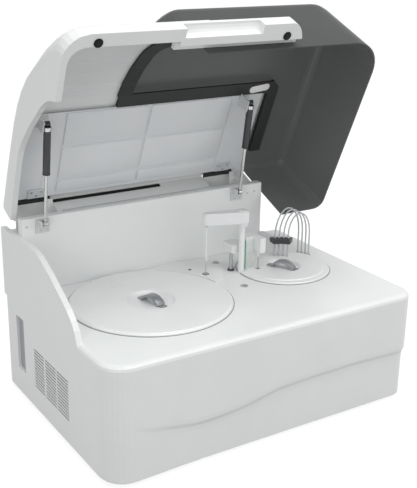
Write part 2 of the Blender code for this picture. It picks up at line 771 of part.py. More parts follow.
def build_rear_panel():
    """Make the removable rear panel with its grille, the fan behind it and the power module."""
    floor = REAR_Y - PANEL_RECESS + GAP
    outer = floor + PANEL_T
    panel = block("rear_panel", (-PANEL_W / 2 + GAP, floor, PANEL_Z - PANEL_H / 2 + GAP),
                  (PANEL_W / 2 - GAP, outer, PANEL_Z + PANEL_H / 2 - GAP), "zinc")
    slots = []
    count = math.ceil((FAN_BORE_R - GRILLE_PITCH / 2) / GRILLE_PITCH) - 1
    for index in range(-count, count + 1):
        across = index * GRILLE_PITCH
        half = math.sqrt(max(0.0, FAN_BORE_R ** 2 - across ** 2)) * 0.94
        slots.append(((FAN_X + across - GRILLE_SLOT / 2, floor - 0.01, FAN_Z - half),
                      (FAN_X + across + GRILLE_SLOT / 2, outer + 0.01, FAN_Z + half)))
    cut(panel, many("grille_forms", slots))
    opening = block("inlet_hole_form",
                    (INLET_X - INLET_W / 2 - GAP, floor - 0.01, INLET_Z - INLET_H / 2 - GAP),
                    (INLET_X + INLET_W / 2 + GAP, outer + 0.01, INLET_Z + INLET_H / 2 + GAP),
                    cutter=True)
    cut(panel, opening)

    half = FAN_SIZE / 2
    front = floor - GAP - FAN_DEPTH
    fan = block("fan_frame", (FAN_X - half, front, FAN_Z - half),
                (FAN_X + half, floor - GAP, FAN_Z + half), "black_plastic")
    bore = bpy.data.meshes.new("fan_bore_form")
    form = bmesh.new()
    turned(form, FAN_BORE_R, FAN_DEPTH * 2, 24, (FAN_X, front + FAN_DEPTH / 2, FAN_Z), "Y")
    form.to_mesh(bore)
    form.free()
    cut(fan, add("fan_bore_form", bore, None, None, True))
    spider = many("fan_spider_form", [
        ((FAN_X - FAN_BORE_R - 0.001, front, FAN_Z - 0.003),
         (FAN_X + FAN_BORE_R + 0.001, front + 0.003, FAN_Z + 0.003))])
    join(fan, spider)
    axis = pivot("fan_axis", (FAN_X, front + 0.003, FAN_Z))
    rotor = bpy.data.meshes.new("fan_rotor")
    form = bmesh.new()
    start = front + 0.003 + GAP
    end = floor - GAP - 0.003
    turned(form, FAN_HUB_R, end - start, 16, (FAN_X, (start + end) / 2, FAN_Z), "Y")
    form.to_mesh(rotor)
    form.free()
    hub = add("fan_rotor", rotor, "black_plastic", axis)
    for index in range(FAN_BLADES):
        turn = Matrix.Rotation(2 * math.pi * index / FAN_BLADES, 4, "Y")
        lean = Matrix.Rotation(math.radians(38), 4, "Z")
        reach = FAN_BORE_R - 0.002
        size = Matrix.Diagonal((0.0015, 0.017, reach - FAN_HUB_R + 0.004, 1.0))
        lift = Matrix.Translation((0.0, 0.0, (reach + FAN_HUB_R - 0.004) / 2))
        place = Matrix.Translation((FAN_X, (start + end) / 2, FAN_Z))
        blade = bpy.data.meshes.new("blade_form")
        form = bmesh.new()
        bmesh.ops.create_cube(form, size=1.0, matrix=place @ turn @ lift @ lean @ size)
        form.to_mesh(blade)
        form.free()
        join(hub, add("blade_form_" + str(index), blade, None, axis, True))

    low = (INLET_X - INLET_W / 2, outer - INLET_DEPTH, INLET_Z - INLET_H / 2)
    high = (INLET_X + INLET_W / 2, outer, INLET_Z + INLET_H / 2)
    inlet = block("power_inlet", low, high, "black_plastic")
    socket_z = INLET_Z - INLET_H / 2 + 0.016
    socket = block("socket_form", (INLET_X - 0.012, outer - 0.017, socket_z - 0.009),
                   (INLET_X + 0.012, outer + 0.01, socket_z + 0.009), cutter=True)
    soften(socket, 0.003, 1)
    cut(inlet, socket)
    pins = many("contact_forms", [
        ((INLET_X + across - 0.001, outer - 0.019, socket_z + up - 0.002),
         (INLET_X + across + 0.001, outer - 0.004, socket_z + up + 0.002))
        for across, up in ((-0.007, -0.002), (0.0, 0.003), (0.007, -0.002))])
    join(inlet, pins)
    rocker_z = INLET_Z + INLET_H / 2 - ROCKER_DROP
    rocker_y = outer - 0.005
    bay = lying("rocker_bay_form", ROCKER_R + RUN_CLEAR, INLET_X - ROCKER_W / 2 - GAP,
                INLET_X + ROCKER_W / 2 + GAP, rocker_y, rocker_z, cutter=True, sides=24)
    cut(inlet, bay)
    switch_axis = pivot("switch_axis", (INLET_X, rocker_y, rocker_z))
    rocker = lying("power_switch", ROCKER_R, INLET_X - ROCKER_W / 2, INLET_X + ROCKER_W / 2,
                   rocker_y, rocker_z, "black_plastic", switch_axis, 24)
    dish = many("rocker_dish_form", [
        ((INLET_X - ROCKER_W, outer - 0.0005, rocker_z - 0.03),
         (INLET_X + ROCKER_W, outer + 0.03, rocker_z + 0.03))], switch_axis)
    cut(rocker, dish)


# Carousels

def well_profile(inner, flange, depth, hole):
    """Closed profile of a flanged well hung under the deck."""
    top = DECK_UNDER_Z - GAP
    bottom = top - depth
    return [(flange, top), (flange, top - WELL_T), (inner + WELL_T, top - WELL_T),
            (inner + WELL_T, bottom), (hole, bottom), (hole, bottom + WELL_T),
            (inner, bottom + WELL_T), (inner, top)], bottom


def cover_profile(radius, well, dish, step):
    """Profile of a lift-off cover with a lowered grip dish and a locating lip."""
    low = DECK_Z + GAP
    top = low + COVER_T
    floor = top - COVER_DISH
    lip = well - 0.0008
    return [(0.0, floor), (dish - 0.007, floor), (dish - 0.002, top - 0.0015), (dish, top),
            (radius - step, top), (radius - step + 0.002, top - 0.002),
            (radius - 0.002, top - 0.0025), (radius, top - 0.0045), (radius, low), (lip, low),
            (lip, low - COVER_LIP), (lip - 0.003, low - COVER_LIP), (lip - 0.003, low),
            (dish + 0.003, low), (dish - 0.004, floor - 0.004), (0.0, floor - 0.004)], floor


def arch_outline(length, height, thickness):
    """Outline of an arched strip standing on its two ends."""
    outer = []
    inner = []
    for step in range(9):
        angle = math.pi * step / 8
        outer.append((length / 2 * math.cos(angle), height * math.sin(angle) ** 0.7))
        inner.append(((length / 2 - thickness) * math.cos(angle),
                      (height - thickness) * math.sin(angle) ** 0.7))
    return outer + inner[::-1]


def build_cover(prefix, x, y, radius, well, dish, step, sides):
    """Make one carousel cover and the arched handle that stands in its dish."""
    profile, floor = cover_profile(radius, well, dish, step)
    cover = revolved(prefix + "_cover", profile, x, y, "body_white", sides=sides)
    outline = [(x + a, floor + GAP + b) for a, b in arch_outline(HANDLE_L, HANDLE_H, HANDLE_T)]
    extruded(prefix + "_handle", outline, y - HANDLE_W / 2, y + HANDLE_W / 2, "XZ",
             key="handle_grey")
    return cover


def build_motor(name, x, y, top):
    """Make a geared motor hung under a well, with its shaft standing up."""
    half = MOTOR_SIZE / 2
    motor = block(name, (x - half, y - half, top - MOTOR_H - GAP), (x + half, y + half, top - GAP),
                  "zinc")
    shaft = cylinder(name + "_shaft_form", MOTOR_SHAFT_R, top - 0.01, top + WELL_T + 0.018, x, y,
                     cutter=True, sides=12)
    join(motor, shaft)


def rotor_profile(radius, top, bottom, seat):
    """Profile of a carousel plate on a hub with a blind bore for the shaft."""
    bore = MOTOR_SHAFT_R + GAP
    return [(0.0, top), (radius, top), (radius, top - 0.006), (0.026, top - 0.006),
            (0.018, bottom), (bore, bottom), (bore, seat), (0.0, seat)]


def build_reagent():
    """Make the reagent well, its turning bottle carousel, the cover and the drive."""
    hole = MOTOR_SHAFT_R + 0.003
    profile, bottom = well_profile(REAGENT_WELL_R, REAGENT_WELL_R + 0.014, REAGENT_WELL_DEPTH,
                                   hole)
    revolved("reagent_well", profile, REAGENT_X, REAGENT_Y, "inner_white", sides=36, closed=True)
    build_motor("reagent_motor", REAGENT_X, REAGENT_Y, bottom)
    axis = pivot("reagent_axis", (REAGENT_X, REAGENT_Y, bottom))
    floor = bottom + WELL_T
    rotor = revolved("reagent_rotor",
                     rotor_profile(REAGENT_WELL_R - REAGENT_ROTOR_GAP, floor + 0.085,
                                   floor + RUN_CLEAR, floor + 0.018 + RUN_CLEAR),
                     REAGENT_X, REAGENT_Y, "inner_white", axis, 36)
    holes = [(*on_ring(REAGENT_X, REAGENT_Y, BOTTLE_RING_R, 360 / BOTTLES * index), BOTTLE_R)
             for index in range(BOTTLES)]
    cut(rotor, drills("bottle_forms", holes, floor + 0.07, floor + 0.1, 10, axis))
    build_cover("reagent", REAGENT_X, REAGENT_Y, REAGENT_COVER_R, REAGENT_WELL_R,
                REAGENT_DISH_R, 0.006, 48)


def build_reaction():
    """Make the reaction well, its turning cuvette ring, the cover and the drive."""
    hole = MOTOR_SHAFT_R + 0.003
    profile, bottom = well_profile(REACTION_WELL_R, REACTION_WELL_R + 0.012,
                                   REACTION_WELL_DEPTH, hole)
    revolved("reaction_well", profile, REACTION_X, REACTION_Y, "inner_white", sides=32,
             closed=True)
    build_motor("reaction_motor", REACTION_X, REACTION_Y, bottom)
    axis = pivot("reaction_axis", (REACTION_X, REACTION_Y, bottom))
    floor = bottom + WELL_T
    rotor = revolved("reaction_rotor",
                     rotor_profile(CUVETTE_RING_R + 0.014, floor + 0.044, floor + RUN_CLEAR,
                                   floor + 0.018 + RUN_CLEAR),
                     REACTION_X, REACTION_Y, "inner_white", axis, 32)
    holes = [(*on_ring(REACTION_X, REACTION_Y, CUVETTE_RING_R, 360 / CUVETTES * index), CUVETTE_R)
             for index in range(CUVETTES)]
    cut(rotor, drills("cuvette_forms", holes, floor + 0.03, floor + 0.06, 6, axis))
    cover = build_cover("reaction", REACTION_X, REACTION_Y, REACTION_COVER_R, REACTION_WELL_R,
                        REACTION_DISH_R, 0.018, 40)
    ports = [(*on_ring(REACTION_X, REACTION_Y, CUVETTE_RING_R, angle), 0.0042)
             for angle in WASH_ANGLES]
    ports.append((*STIRRER_RIGHT, WASH_HOLE_R))
    ports.append((SAMPLER_X, SAMPLER_Y, SAMPLER_COLUMN_R + 0.0015))
    cut(cover, drills("port_forms", ports, DECK_Z - 0.02, DECK_Z + 0.03, 10))


# Arms between the carousels

def capsule(x0, y0, r0, x1, y1, r1, steps=7):
    """Outline of a tapered arm with two round ends."""
    heading = math.atan2(y1 - y0, x1 - x0)
    points = []
    for step in range(steps + 1):
        angle = heading + math.pi / 2 + math.pi * step / steps
        points.append((x0 + r0 * math.cos(angle), y0 + r0 * math.sin(angle)))
    for step in range(steps + 1):
        angle = heading - math.pi / 2 + math.pi * step / steps
        points.append((x1 + r1 * math.cos(angle), y1 + r1 * math.sin(angle)))
    return points


def build_plate():
    """Make the round raised plate, cut back where the carousel covers and the wall are."""
    low = DECK_Z + GAP
    plate = cylinder("centre_plate", PLATE_R, low, low + PLATE_T, PLATE_X, PLATE_Y, "body_white",
                     sides=48)
    rims = drills("rim_forms", [
        (REAGENT_X, REAGENT_Y, REAGENT_COVER_R + PLATE_MARGIN),
        (REACTION_X, REACTION_Y, REACTION_COVER_R + PLATE_MARGIN)], low - 0.01, low + 0.02, 48)
    cut(plate, rims)
    probe = on_ring(SAMPLER_X, SAMPLER_Y, SAMPLER_REACH, SAMPLER_ANGLE)
    cut(plate, drills("plate_hole_form", [(*probe, WASH_HOLE_R)], low - 0.01, low + 0.02))
    wall = block("wall_room_form", (-0.2, WALL_FRONT_Y - 0.001, low - 0.01),
                 (0.3, WALL_FRONT_Y + 0.1, low + 0.02), cutter=True)
    cut(plate, wall)


def build_sampler():
    """Make the lifting column, the swinging arm on it and the sample probe."""
    lift = pivot("sampler_lift_axis", (SAMPLER_X, SAMPLER_Y, DECK_Z))
    column = cylinder("sampler_column", SAMPLER_COLUMN_R, DECK_Z - 0.150, SAMPLER_ARM_Z - GAP,
                      SAMPLER_X, SAMPLER_Y, "steel", lift, 20)
    spigot = cylinder("spigot_form", SPIGOT_R, SAMPLER_ARM_Z - 0.02, SAMPLER_ARM_Z + SPIGOT_H,
                      SAMPLER_X, SAMPLER_Y, None, lift, 14, True)
    join(column, spigot)
    swing = pivot("sampler_swing_axis", (SAMPLER_X, SAMPLER_Y, SAMPLER_ARM_Z))
    tip = on_ring(SAMPLER_X, SAMPLER_Y, SAMPLER_REACH, SAMPLER_ANGLE)
    arm = extruded("sampler_arm",
                   capsule(SAMPLER_X, SAMPLER_Y, SAMPLER_HUB_R, *tip, SAMPLER_TIP_R),
                   SAMPLER_ARM_Z, SAMPLER_ARM_Z + SAMPLER_ARM_H, key="body_white", parent=swing)
    soften(arm, 0.003, 2)
    bore = cylinder("arm_bore_form", SPIGOT_R + GAP, SAMPLER_ARM_Z - 0.01,
                    SAMPLER_ARM_Z + SPIGOT_H + GAP, SAMPLER_X, SAMPLER_Y, None, swing, 14, True)
    cut(arm, bore)
    cylinder("sampler_probe", PROBE_R, DECK_Z + GAP + PLATE_T + PROBE_LIFT, SAMPLER_ARM_Z - GAP,
             *tip, "steel", swing, 8)


def build_mixer():
    """Make the mixing block on its lifting shaft, its two stirrers and the clear guard."""
    lift = pivot("mixer_lift_axis", (MIXER_X, MIXER_Y, DECK_Z))
    cylinder("mixer_shaft", MIXER_SHAFT_R, DECK_Z - 0.110, MIXER_Z - GAP, MIXER_X, MIXER_Y,
             "steel", lift, 16)
    guard_back = GUARD_Y + GUARD_T / 2 + 0.002
    right = STIRRER_RIGHT[0] + 0.014
    inner = GUARD_RIGHT_X + 0.0015
    outline = [(inner, STIRRER_RIGHT[1] - 0.012), (right, STIRRER_RIGHT[1] - 0.012),
               (right, MIXER_REAR_Y), (STIRRER_LEFT[0] + 0.016, MIXER_REAR_Y),
               (STIRRER_LEFT[0] + 0.016, guard_back), (inner, guard_back)]
    block_obj = extruded("mixer_block", outline, MIXER_Z, MIXER_Z + MIXER_H, key="body_white",
                         parent=lift)
    low_part = block("mixer_low_form",
                     (MIXER_X - MIXER_SHAFT_R - 0.004, SAMPLER_Y + SAMPLER_COLUMN_R + 0.002,
                      MIXER_Z),
                     (STIRRER_LEFT[0] + 0.0185, STIRRER_LEFT[1] + 0.012, MIXER_Z + MIXER_LOW_H),
                     parent=lift, cutter=True)
    join(block_obj, low_part)
    for side, (x, y), drop in (("left", STIRRER_LEFT, 0.0), ("right", STIRRER_RIGHT, 0.0)):
        cylinder("stirrer_" + side, STIRRER_R, DECK_Z + 0.0015 - drop, MIXER_Z - GAP, x, y,
                 "steel", lift, 8)
    block("splash_guard", (GUARD_LEFT_X, GUARD_Y - GUARD_T / 2, DECK_Z + COVER_T + 2 * GAP),
          (GUARD_RIGHT_X, GUARD_Y + GUARD_T / 2, GUARD_TOP_Z), "clear")


def build_wash():
    """Make the wash head on its post and the four tubes that arch back into the deck."""
    lift = pivot("wash_lift_axis", (WASH_POST_X, WASH_POST_Y, DECK_Z))
    outline = []
    angles = [WASH_ANGLES[0] + 7 - (WASH_ANGLES[0] - WASH_ANGLES[-1] + 14) * step / 6
              for step in range(7)]
    for angle in angles:
        outline.append(on_ring(REACTION_X, REACTION_Y, CUVETTE_RING_R - WASH_BAR_HALF_W, angle))
    for angle in angles[::-1]:
        outline.append(on_ring(REACTION_X, REACTION_Y, CUVETTE_RING_R + WASH_BAR_HALF_W, angle))
    bar = extruded("wash_bar", outline, WASH_BAR_Z, WASH_BAR_Z + WASH_BAR_T, key="inner_white",
                   parent=lift)
    ring_y = REACTION_Y + CUVETTE_RING_R
    neck = block("wash_neck_form", (WASH_POST_X - 0.008, ring_y - 0.010, WASH_BAR_Z + 0.001),
                 (WASH_POST_X + 0.008, WASH_POST_Y + 0.008, WASH_BAR_Z + WASH_BAR_T - 0.001),
                 parent=lift, cutter=True)
    join(bar, neck)
    bores = [(*on_ring(REACTION_X, REACTION_Y, CUVETTE_RING_R, angle), WASH_TUBE_R + GAP)
             for angle in WASH_ANGLES]
    cut(bar, drills("ferrule_forms", bores, WASH_BAR_Z - 0.01, WASH_BAR_Z + 0.03, 10, lift))
    cylinder("wash_post", WASH_POST_R, DECK_Z - 0.060, WASH_BAR_Z + 0.001 - GAP, WASH_POST_X,
             WASH_POST_Y, "steel", lift, 14)
    base = WASH_BAR_Z + WASH_BAR_T + 0.008
    for index, (angle, tail) in enumerate(zip(WASH_ANGLES, WASH_TAIL_ANGLES)):
        start = on_ring(REACTION_X, REACTION_Y, CUVETTE_RING_R, angle)
        end = on_ring(REACTION_X, REACTION_Y, WASH_TAIL_R, tail)
        top = WASH_TOP_Z - base - 0.004 * index
        points = [(*start, WASH_TIP_Z)]
        for step in range(11):
            turn = math.pi * step / 10
            share = (1 - math.cos(turn)) / 2
            points.append((start[0] + (end[0] - start[0]) * share,
                           start[1] + (end[1] - start[1]) * share,
                           base + top * math.sin(turn)))
        points.append((*end, WASH_TAIL_Z))
        tube("wash_tube_" + str(index + 1), points, WASH_TUBE_R, "steel", lift)


# Cover

def lid_profile(inner):
    """Top line of the cover from back to front, outside or inside the wall."""
    if not inner:
        return list(LID_TOP)
    front = LID_TOP[-1][0] + LID_FRONT_T
    rear = LID_TOP[0][0] - LID_T
    line = [(y, z - LID_T * 1.1) for y, z in LID_TOP if front + 0.004 < y < rear - 0.004]
    first = (rear, straight(LID_TOP, rear) - LID_T * 1.1)
    return [first] + line + [(front, straight(LID_TOP, front) - LID_T * 1.1)]


def lid_section(x, drop, back, inner):
    """Section of the cover at one x, with its top lowered and its front moved back."""
    bottom = FOOT_H + 0.2 if inner else DECK_Z + LID_GAP
    line = lid_profile(inner)
    blend_y = -0.100
    reach = blend_y - line[-1][0]
    rear = line[0][0] - min(drop, 0.008)
    ring = [(x, rear, bottom)]
    for y, z in line:
        share = max(0.0, min(1.0, (blend_y - y) / reach))
        ring.append((x, min(rear, y + back * share), z - drop))
    ring.append((x, line[-1][0] + back, bottom))
    return ring


def lid_rings(inner):
    """Sections of the cover from its rounded left side to its right end."""
    start = LEFT_X + (LID_SIDE_T if inner else 0.0)
    end = LID_RIGHT_X + (0.02 if inner else 0.0)
    edge = LID_INNER_R if inner else LID_EDGE_R
    corner = LID_CORNER_R - (0.020 if inner else 0.0)
    rings = []
    for depth in (0.0, 0.002, 0.006, 0.013, 0.022, 0.036, 0.060):
        if depth > corner:
            continue
        drop = edge - math.sqrt(max(0.0, edge ** 2 - max(0.0, edge - depth) ** 2))
        back = corner - math.sqrt(max(0.0, corner ** 2 - (corner - depth) ** 2))
        rings.append(lid_section(start + depth, drop, back, inner))
    rings.append(lid_section(start + corner + 0.001, 0.0, 0.0, inner))
    rings.append(lid_section(end, 0.0, 0.0, inner))
    return rings


def build_lid(axis):
    """Make the white cover moulding with its grip bar and the hinge notches."""
    shell = loft("lid_shell", lid_rings(False), "body_white", axis)
    bottom = DECK_Z + LID_GAP
    cut(shell, loft("lid_hollow_form", lid_rings(True), None, axis, True))
    line = shifted(wing_line(), LID_GAP)
    under = [(line[0][0] - 0.004, bottom - 0.01)]
    under += [point for point in line if point[1] > bottom]
    under += [(REAR_Y + 0.02, line[-1][1]), (REAR_Y + 0.02, bottom - 0.01)]
    cut(shell, extruded("lid_edge_form", under, LEFT_X - 0.02, LID_RIGHT_X + 0.05, "YZ",
                        parent=axis, cutter=True))
    front = LID_TOP[-1][0]
    back = HOOD_FRONT_Y - GAP
    opening = loft("lid_opening_form", hood_rings(-2 * GAP), None, axis, True)
    keep = block("lid_keep_form", (HOOD_LEFT_X - 0.05, LID_STEP_Y, bottom - 0.04),
                 (HOOD_RIGHT_X + 0.05, HOOD_REAR_Y + 0.05, HOOD_TOP_Z + 0.05), parent=axis,
                 cutter=True)
    cut(opening, keep)
    cut(shell, opening)
    bar_left = HOOD_LEFT_X + HOOD_FRONT_LEFT_R
    trim = extruded("lid_bar_form",
                    [(bar_left, front - 0.05), (LID_RIGHT_X + 0.05, front - 0.05),
                     (LID_RIGHT_X + 0.05, back + 0.01), (bar_left, back + 0.01)],
                    BAR_TOP_Z, HOOD_TOP_Z + 0.05, parent=axis, cutter=True)
    cut(shell, trim)
    left = LID_FRONT_X - 0.004
    right = BAR_END_REAR_X + 0.02
    bar = extruded("bar_form",
                   [(left, front + 0.001), (right, front + 0.001), (right, back), (left, back)],
                   BAR_TOP_Z - BAR_WEB_T, BAR_TOP_Z, parent=axis, cutter=True)
    join(shell, bar)
    deep = extruded("bar_body_form",
                    [(left, front + 0.001), (right, front + 0.001), (right, front + BAR_DEPTH),
                     (left, front + BAR_DEPTH)],
                    bottom, BAR_TOP_Z - 0.001, parent=axis, cutter=True)
    join(shell, deep)
    nose = []
    for step in range(9):
        angle = math.radians(90 * step / 8)
        nose.append((BAR_END_FRONT_X + (BAR_END_REAR_X - BAR_END_FRONT_X) * math.sin(angle),
                     front + (back + 0.01 - front) * (1 - math.cos(angle))))
    beyond = [(LID_RIGHT_X + 0.05, back + 0.01), (LID_RIGHT_X + 0.05, front - 0.02),
              (BAR_END_FRONT_X, front - 0.02)]
    end = extruded("bar_end_form", nose + beyond, bottom - 0.02, BAR_TOP_Z + 0.02, parent=axis,
                   cutter=True)
    cut(shell, end)
    grip = lying("grip_form", GRIP_R, GRIP_LEFT_X, GRIP_RIGHT_X, front - 0.002, bottom - 0.001,
                 None, axis, 20, True)
    cut(shell, grip)
    notches = []
    for x in HINGE_XS:
        half = HINGE_W / 2 + HINGE_NOTCH_GAP
        notches.append(((x - half, LINER_REAR_Y + 0.008, bottom - 0.02),
                        (x + half, REAR_Y + 0.02, HINGE_Z + KNUCKLE_R + 0.0006)))
    cut(shell, many("notch_forms", notches, axis))
    for side, (x, y) in zip(("left", "right"), BUMPERS):
        cylinder("bumper_" + side, BUMPER_R, DECK_Z + 0.0006, bottom - GAP, x, y, "rubber",
                 axis, 14)


def build_liner(axis):
    """Make the inner panel of the cover with its pressed lines."""
    left = LEFT_X + LID_SIDE_T + GAP
    liner = block("lid_liner", (left, LINER_FRONT_Y, LINER_Z),
                  (LINER_RIGHT_X, LINER_REAR_Y, LINER_Z + LINER_T), "inner_white", axis)
    half = GROOVE_W / 2
    lines = [((x - half, LINER_FRONT_Y - 0.01, LINER_Z - 0.01),
              (x + half, LINER_REAR_Y - 0.012, LINER_Z + GROOVE_D)) for x in LINER_GROOVES_X]
    for y in LINER_GROOVES_Y:
        for first, second in zip(LINER_GROOVES_X, LINER_GROOVES_X[1:]):
            lines.append(((first + 0.02, y - half, LINER_Z - 0.01),
                          (second - 0.02, y + half, LINER_Z + GROOVE_D)))
    for x in STRUT_XS:
        lines.append(((x - CHANNEL_W / 2, CHANNEL_FRONT_Y, LINER_Z - 0.01),
                      (x + CHANNEL_W / 2, LINER_REAR_Y - 0.016, LINER_Z + GROOVE_D)))
    cut(liner, many("groove_forms", lines, axis))


def hood_rings(inset_by):
    """Sections of the hood from its lower edge to its flat top, moved in by a distance."""
    radii = [radius - inset_by for radius in
             (HOOD_FRONT_LEFT_R, HOOD_CORNER_R, HOOD_REAR_R, HOOD_REAR_R)]
    outline = rounded(HOOD_LEFT_X + inset_by, HOOD_RIGHT_X - inset_by, HOOD_FRONT_Y + inset_by,
                      HOOD_REAR_Y - inset_by, radii, (7, 9, 5, 3), (2, 1, 1, 8))
    wall = max(0.0, inset_by)
    top = HOOD_TOP_Z - wall
    bottom = DECK_Z + LID_GAP - (0.02 if inset_by else 0.0)
    edge = HOOD_EDGE_R - wall
    rings = []
    for level in HOOD_LEVELS:
        z = DECK_Z + LID_GAP + (top - DECK_Z - LID_GAP) * level
        high = max(0.0, z - (top - edge)) / edge
        inset = edge * (1 - math.sqrt(max(0.0, 1 - min(1.0, high) ** 2)))
        ring = []
        for x, y, nx, ny in outline:
            roof = straight(LID_TOP, max(HOOD_FRONT_Y, min(0.0, y)))
            rise = HOOD_TOP_Z - roof - wall
            run = HOOD_LEAN * (HOOD_TOP_Z - roof) - wall
            lifted = max(0.0, z - (top - rise)) / rise
            lean = run * (1 - math.sqrt(max(0.0, 1 - min(1.0, lifted) ** 2)))
            share = max(0.0, min(1.0, (0.02 - x) / (0.02 - HOOD_LEFT_X)))
            side = max(0.0, -nx)
            along = x - nx * inset * (1 - side) + lean * share
            ring.append((along, y - ny * inset, z if level else bottom))
        rings.append(ring)
    return rings


def build_hood(axis):
    """Make the smoked hood that wraps the front right of the cover."""
    hood = loft("lid_hood", hood_rings(0.0), "smoked", axis)
    cut(hood, loft("hood_hollow_form", hood_rings(HOOD_T), None, axis, True))
    low = DECK_Z - 0.02
    inner_x = LID_RIGHT_X + GAP
    inner_y = LID_STEP_Y - GAP
    corner = extruded("hood_corner_form",
                      [(HOOD_LEFT_X - 0.05, inner_y), (inner_x, inner_y),
                       (inner_x, HOOD_REAR_Y - HOOD_T - 0.001),
                       (HOOD_REAR_LEFT_X, HOOD_REAR_Y - HOOD_T - 0.001),
                       (HOOD_REAR_LEFT_X, HOOD_REAR_Y + 0.05), (HOOD_LEFT_X - 0.05,
                                                                HOOD_REAR_Y + 0.05)],
                      low, HOOD_TOP_Z + 0.02, parent=axis, cutter=True)
    cut(hood, corner)
    slope = [(y, z - LID_T - 0.0006) for y, z in LID_TOP if y <= LID_STEP_Y + 0.02]
    slope = [(LID_STEP_Y + 0.04, slope[0][1])] + slope
    under = slope + [(slope[-1][0], low), (slope[0][0], low)]
    cut(hood, extruded("hood_side_form", under, HOOD_LEFT_X - 0.02,
                       HOOD_LEFT_X + HOOD_FRONT_LEFT_R - 0.004, "YZ", parent=axis, cutter=True))
    room = block("rim_room_form",
                 (HOOD_LEFT_X - 0.05, LINER_FRONT_Y - RIM_W - 2 * GAP, RIM_Z - GAP),
                 (HOOD_RIGHT_X - 0.05, LINER_FRONT_Y, RIM_Z + RIM_H + GAP), parent=axis,
                 cutter=True)
    cut(hood, room)


def build_rim(axis):
    """Make the dark frame that joins the hood to the white cover from below."""
    front = LINER_FRONT_Y - GAP
    low = RIM_Z
    outline = [(LID_FRONT_X - 0.014, front), (LID_FRONT_X - 0.014, front - RIM_W),
               (LINER_RIGHT_X + 0.03, front - RIM_W), (RIM_RIGHT_X, front - RIM_W + 0.018),
               (RIM_RIGHT_X, RIM_REAR_Y), (LINER_RIGHT_X + 0.016, RIM_REAR_Y),
               (LINER_RIGHT_X + 0.016, front + 0.002), (LINER_RIGHT_X - 0.001, front)]
    rim = extruded("hood_rim", outline, low, low + RIM_H, key="rim_dark", parent=axis)
    slope = [(y, z - LID_T - 0.0010) for y, z in LID_TOP if HOOD_FRONT_Y - 0.03 < y < 0.031]
    above = slope + [(slope[-1][0], HOOD_TOP_Z), (slope[0][0], HOOD_TOP_Z)]
    below = [(y, z - RIM_ARM_T) for y, z in slope]
    below += [(slope[-1][0], DECK_Z), (slope[0][0], DECK_Z)]
    centre = (RIM_ARM_LEFT_X + 0.070, HOOD_FRONT_Y + 0.075)
    outer = [(*centre, 0.070, 180 + 15 * step) for step in range(7)]
    inner = [(RIM_ARM_RIGHT_X + 0.035, RIM_ARM_FRONT_Y + 0.035, 0.035, 270 - 18 * step)
             for step in range(6)]
    corner = [on_ring(*item) for item in outer]
    corner = [(x, max(y, HOOD_FRONT_Y + HOOD_T + GAP)) for x, y in corner]
    bend = [on_ring(*item) for item in inner]
    plan = [(RIM_ARM_LEFT_X, front - RIM_W + 0.004)] + corner
    plan += [(RIM_ARM_END_X, HOOD_FRONT_Y + HOOD_T + GAP), (RIM_ARM_END_X, RIM_ARM_FRONT_Y)]
    plan += bend + [(RIM_ARM_RIGHT_X, front - RIM_W + 0.004)]
    arm = extruded("rim_arm_form", plan, DECK_Z + 0.02, HOOD_TOP_Z - 0.002, parent=axis,
                   cutter=True)
    cut(arm, extruded("rim_under_form", below, LEFT_X, LID_RIGHT_X, "YZ", parent=axis,
                      cutter=True))
    join(rim, arm)
    cut(rim, extruded("rim_slope_form", above, LEFT_X, LID_RIGHT_X + 0.002, "YZ", parent=axis,
                      cutter=True))


def build_hinges(axis):
    """Make the two butt hinges: a base leaf, a cover leaf and a pin each."""
    third = HINGE_W / 4
    for side, x in zip(("left", "right"), HINGE_XS):
        low, high = x - HINGE_W / 2, x + HINGE_W / 2
        foot = [(HINGE_Y - 0.016, WALL_LEDGE_Z + GAP), (HINGE_Y + 0.007, WALL_LEDGE_Z + GAP),
                (HINGE_Y + 0.007, WALL_LEDGE_Z + 0.003), (HINGE_Y + 0.0055, WALL_LEDGE_Z + 0.005),
                (HINGE_Y + 0.0045, HINGE_Z), (HINGE_Y + 0.0015, HINGE_Z),
                (HINGE_Y + 0.0025, WALL_LEDGE_Z + 0.005), (HINGE_Y - 0.016, WALL_LEDGE_Z + 0.003)]
        base = extruded("hinge_base_" + side, foot, low, high, "YZ", key="black_plastic")
        clear = lying("knuckle_room_form_" + side, KNUCKLE_R + 0.0008, low + third,
                      high - third, HINGE_Y, HINGE_Z, cutter=True)
        for end, (a, b) in enumerate(((low, low + third - GAP), (high - third + GAP, high))):
            join(base, lying("base_knuckle_form_" + side + str(end), KNUCKLE_R, a, b, HINGE_Y,
                             HINGE_Z, cutter=True))
        cut(base, clear)
        cut(base, lying("base_bore_form_" + side, PIN_R + GAP, low - 0.01, high + 0.01, HINGE_Y,
                        HINGE_Z, cutter=True, sides=12))
        lying("hinge_pin_" + side, PIN_R, low - 0.001, high + 0.001, HINGE_Y, HINGE_Z, "steel",
              sides=12)
        top = LINER_Z - GAP
        leaf = [(LINER_REAR_Y - 0.026, top), (LINER_REAR_Y - 0.026, top - LEAF_T),
                (LINER_REAR_Y + 0.004, top - LEAF_T), (HINGE_Y - 0.004, HINGE_Z - 0.004),
                (HINGE_Y, HINGE_Z - 0.003), (HINGE_Y - 0.001, HINGE_Z + 0.001),
                (LINER_REAR_Y + 0.002, top)]
        plate = extruded("hinge_leaf_" + side, leaf, low + third + GAP, high - third - GAP, "YZ",
                         key="black_plastic", parent=axis)
        join(plate, lying("leaf_knuckle_form_" + side, KNUCKLE_R, low + third + GAP,
                          high - third - GAP, HINGE_Y, HINGE_Z, None, axis, cutter=True))
        cut(plate, lying("leaf_bore_form_" + side, PIN_R + GAP, low - 0.01, high + 0.01,
                         HINGE_Y, HINGE_Z, None, axis, 12, True))


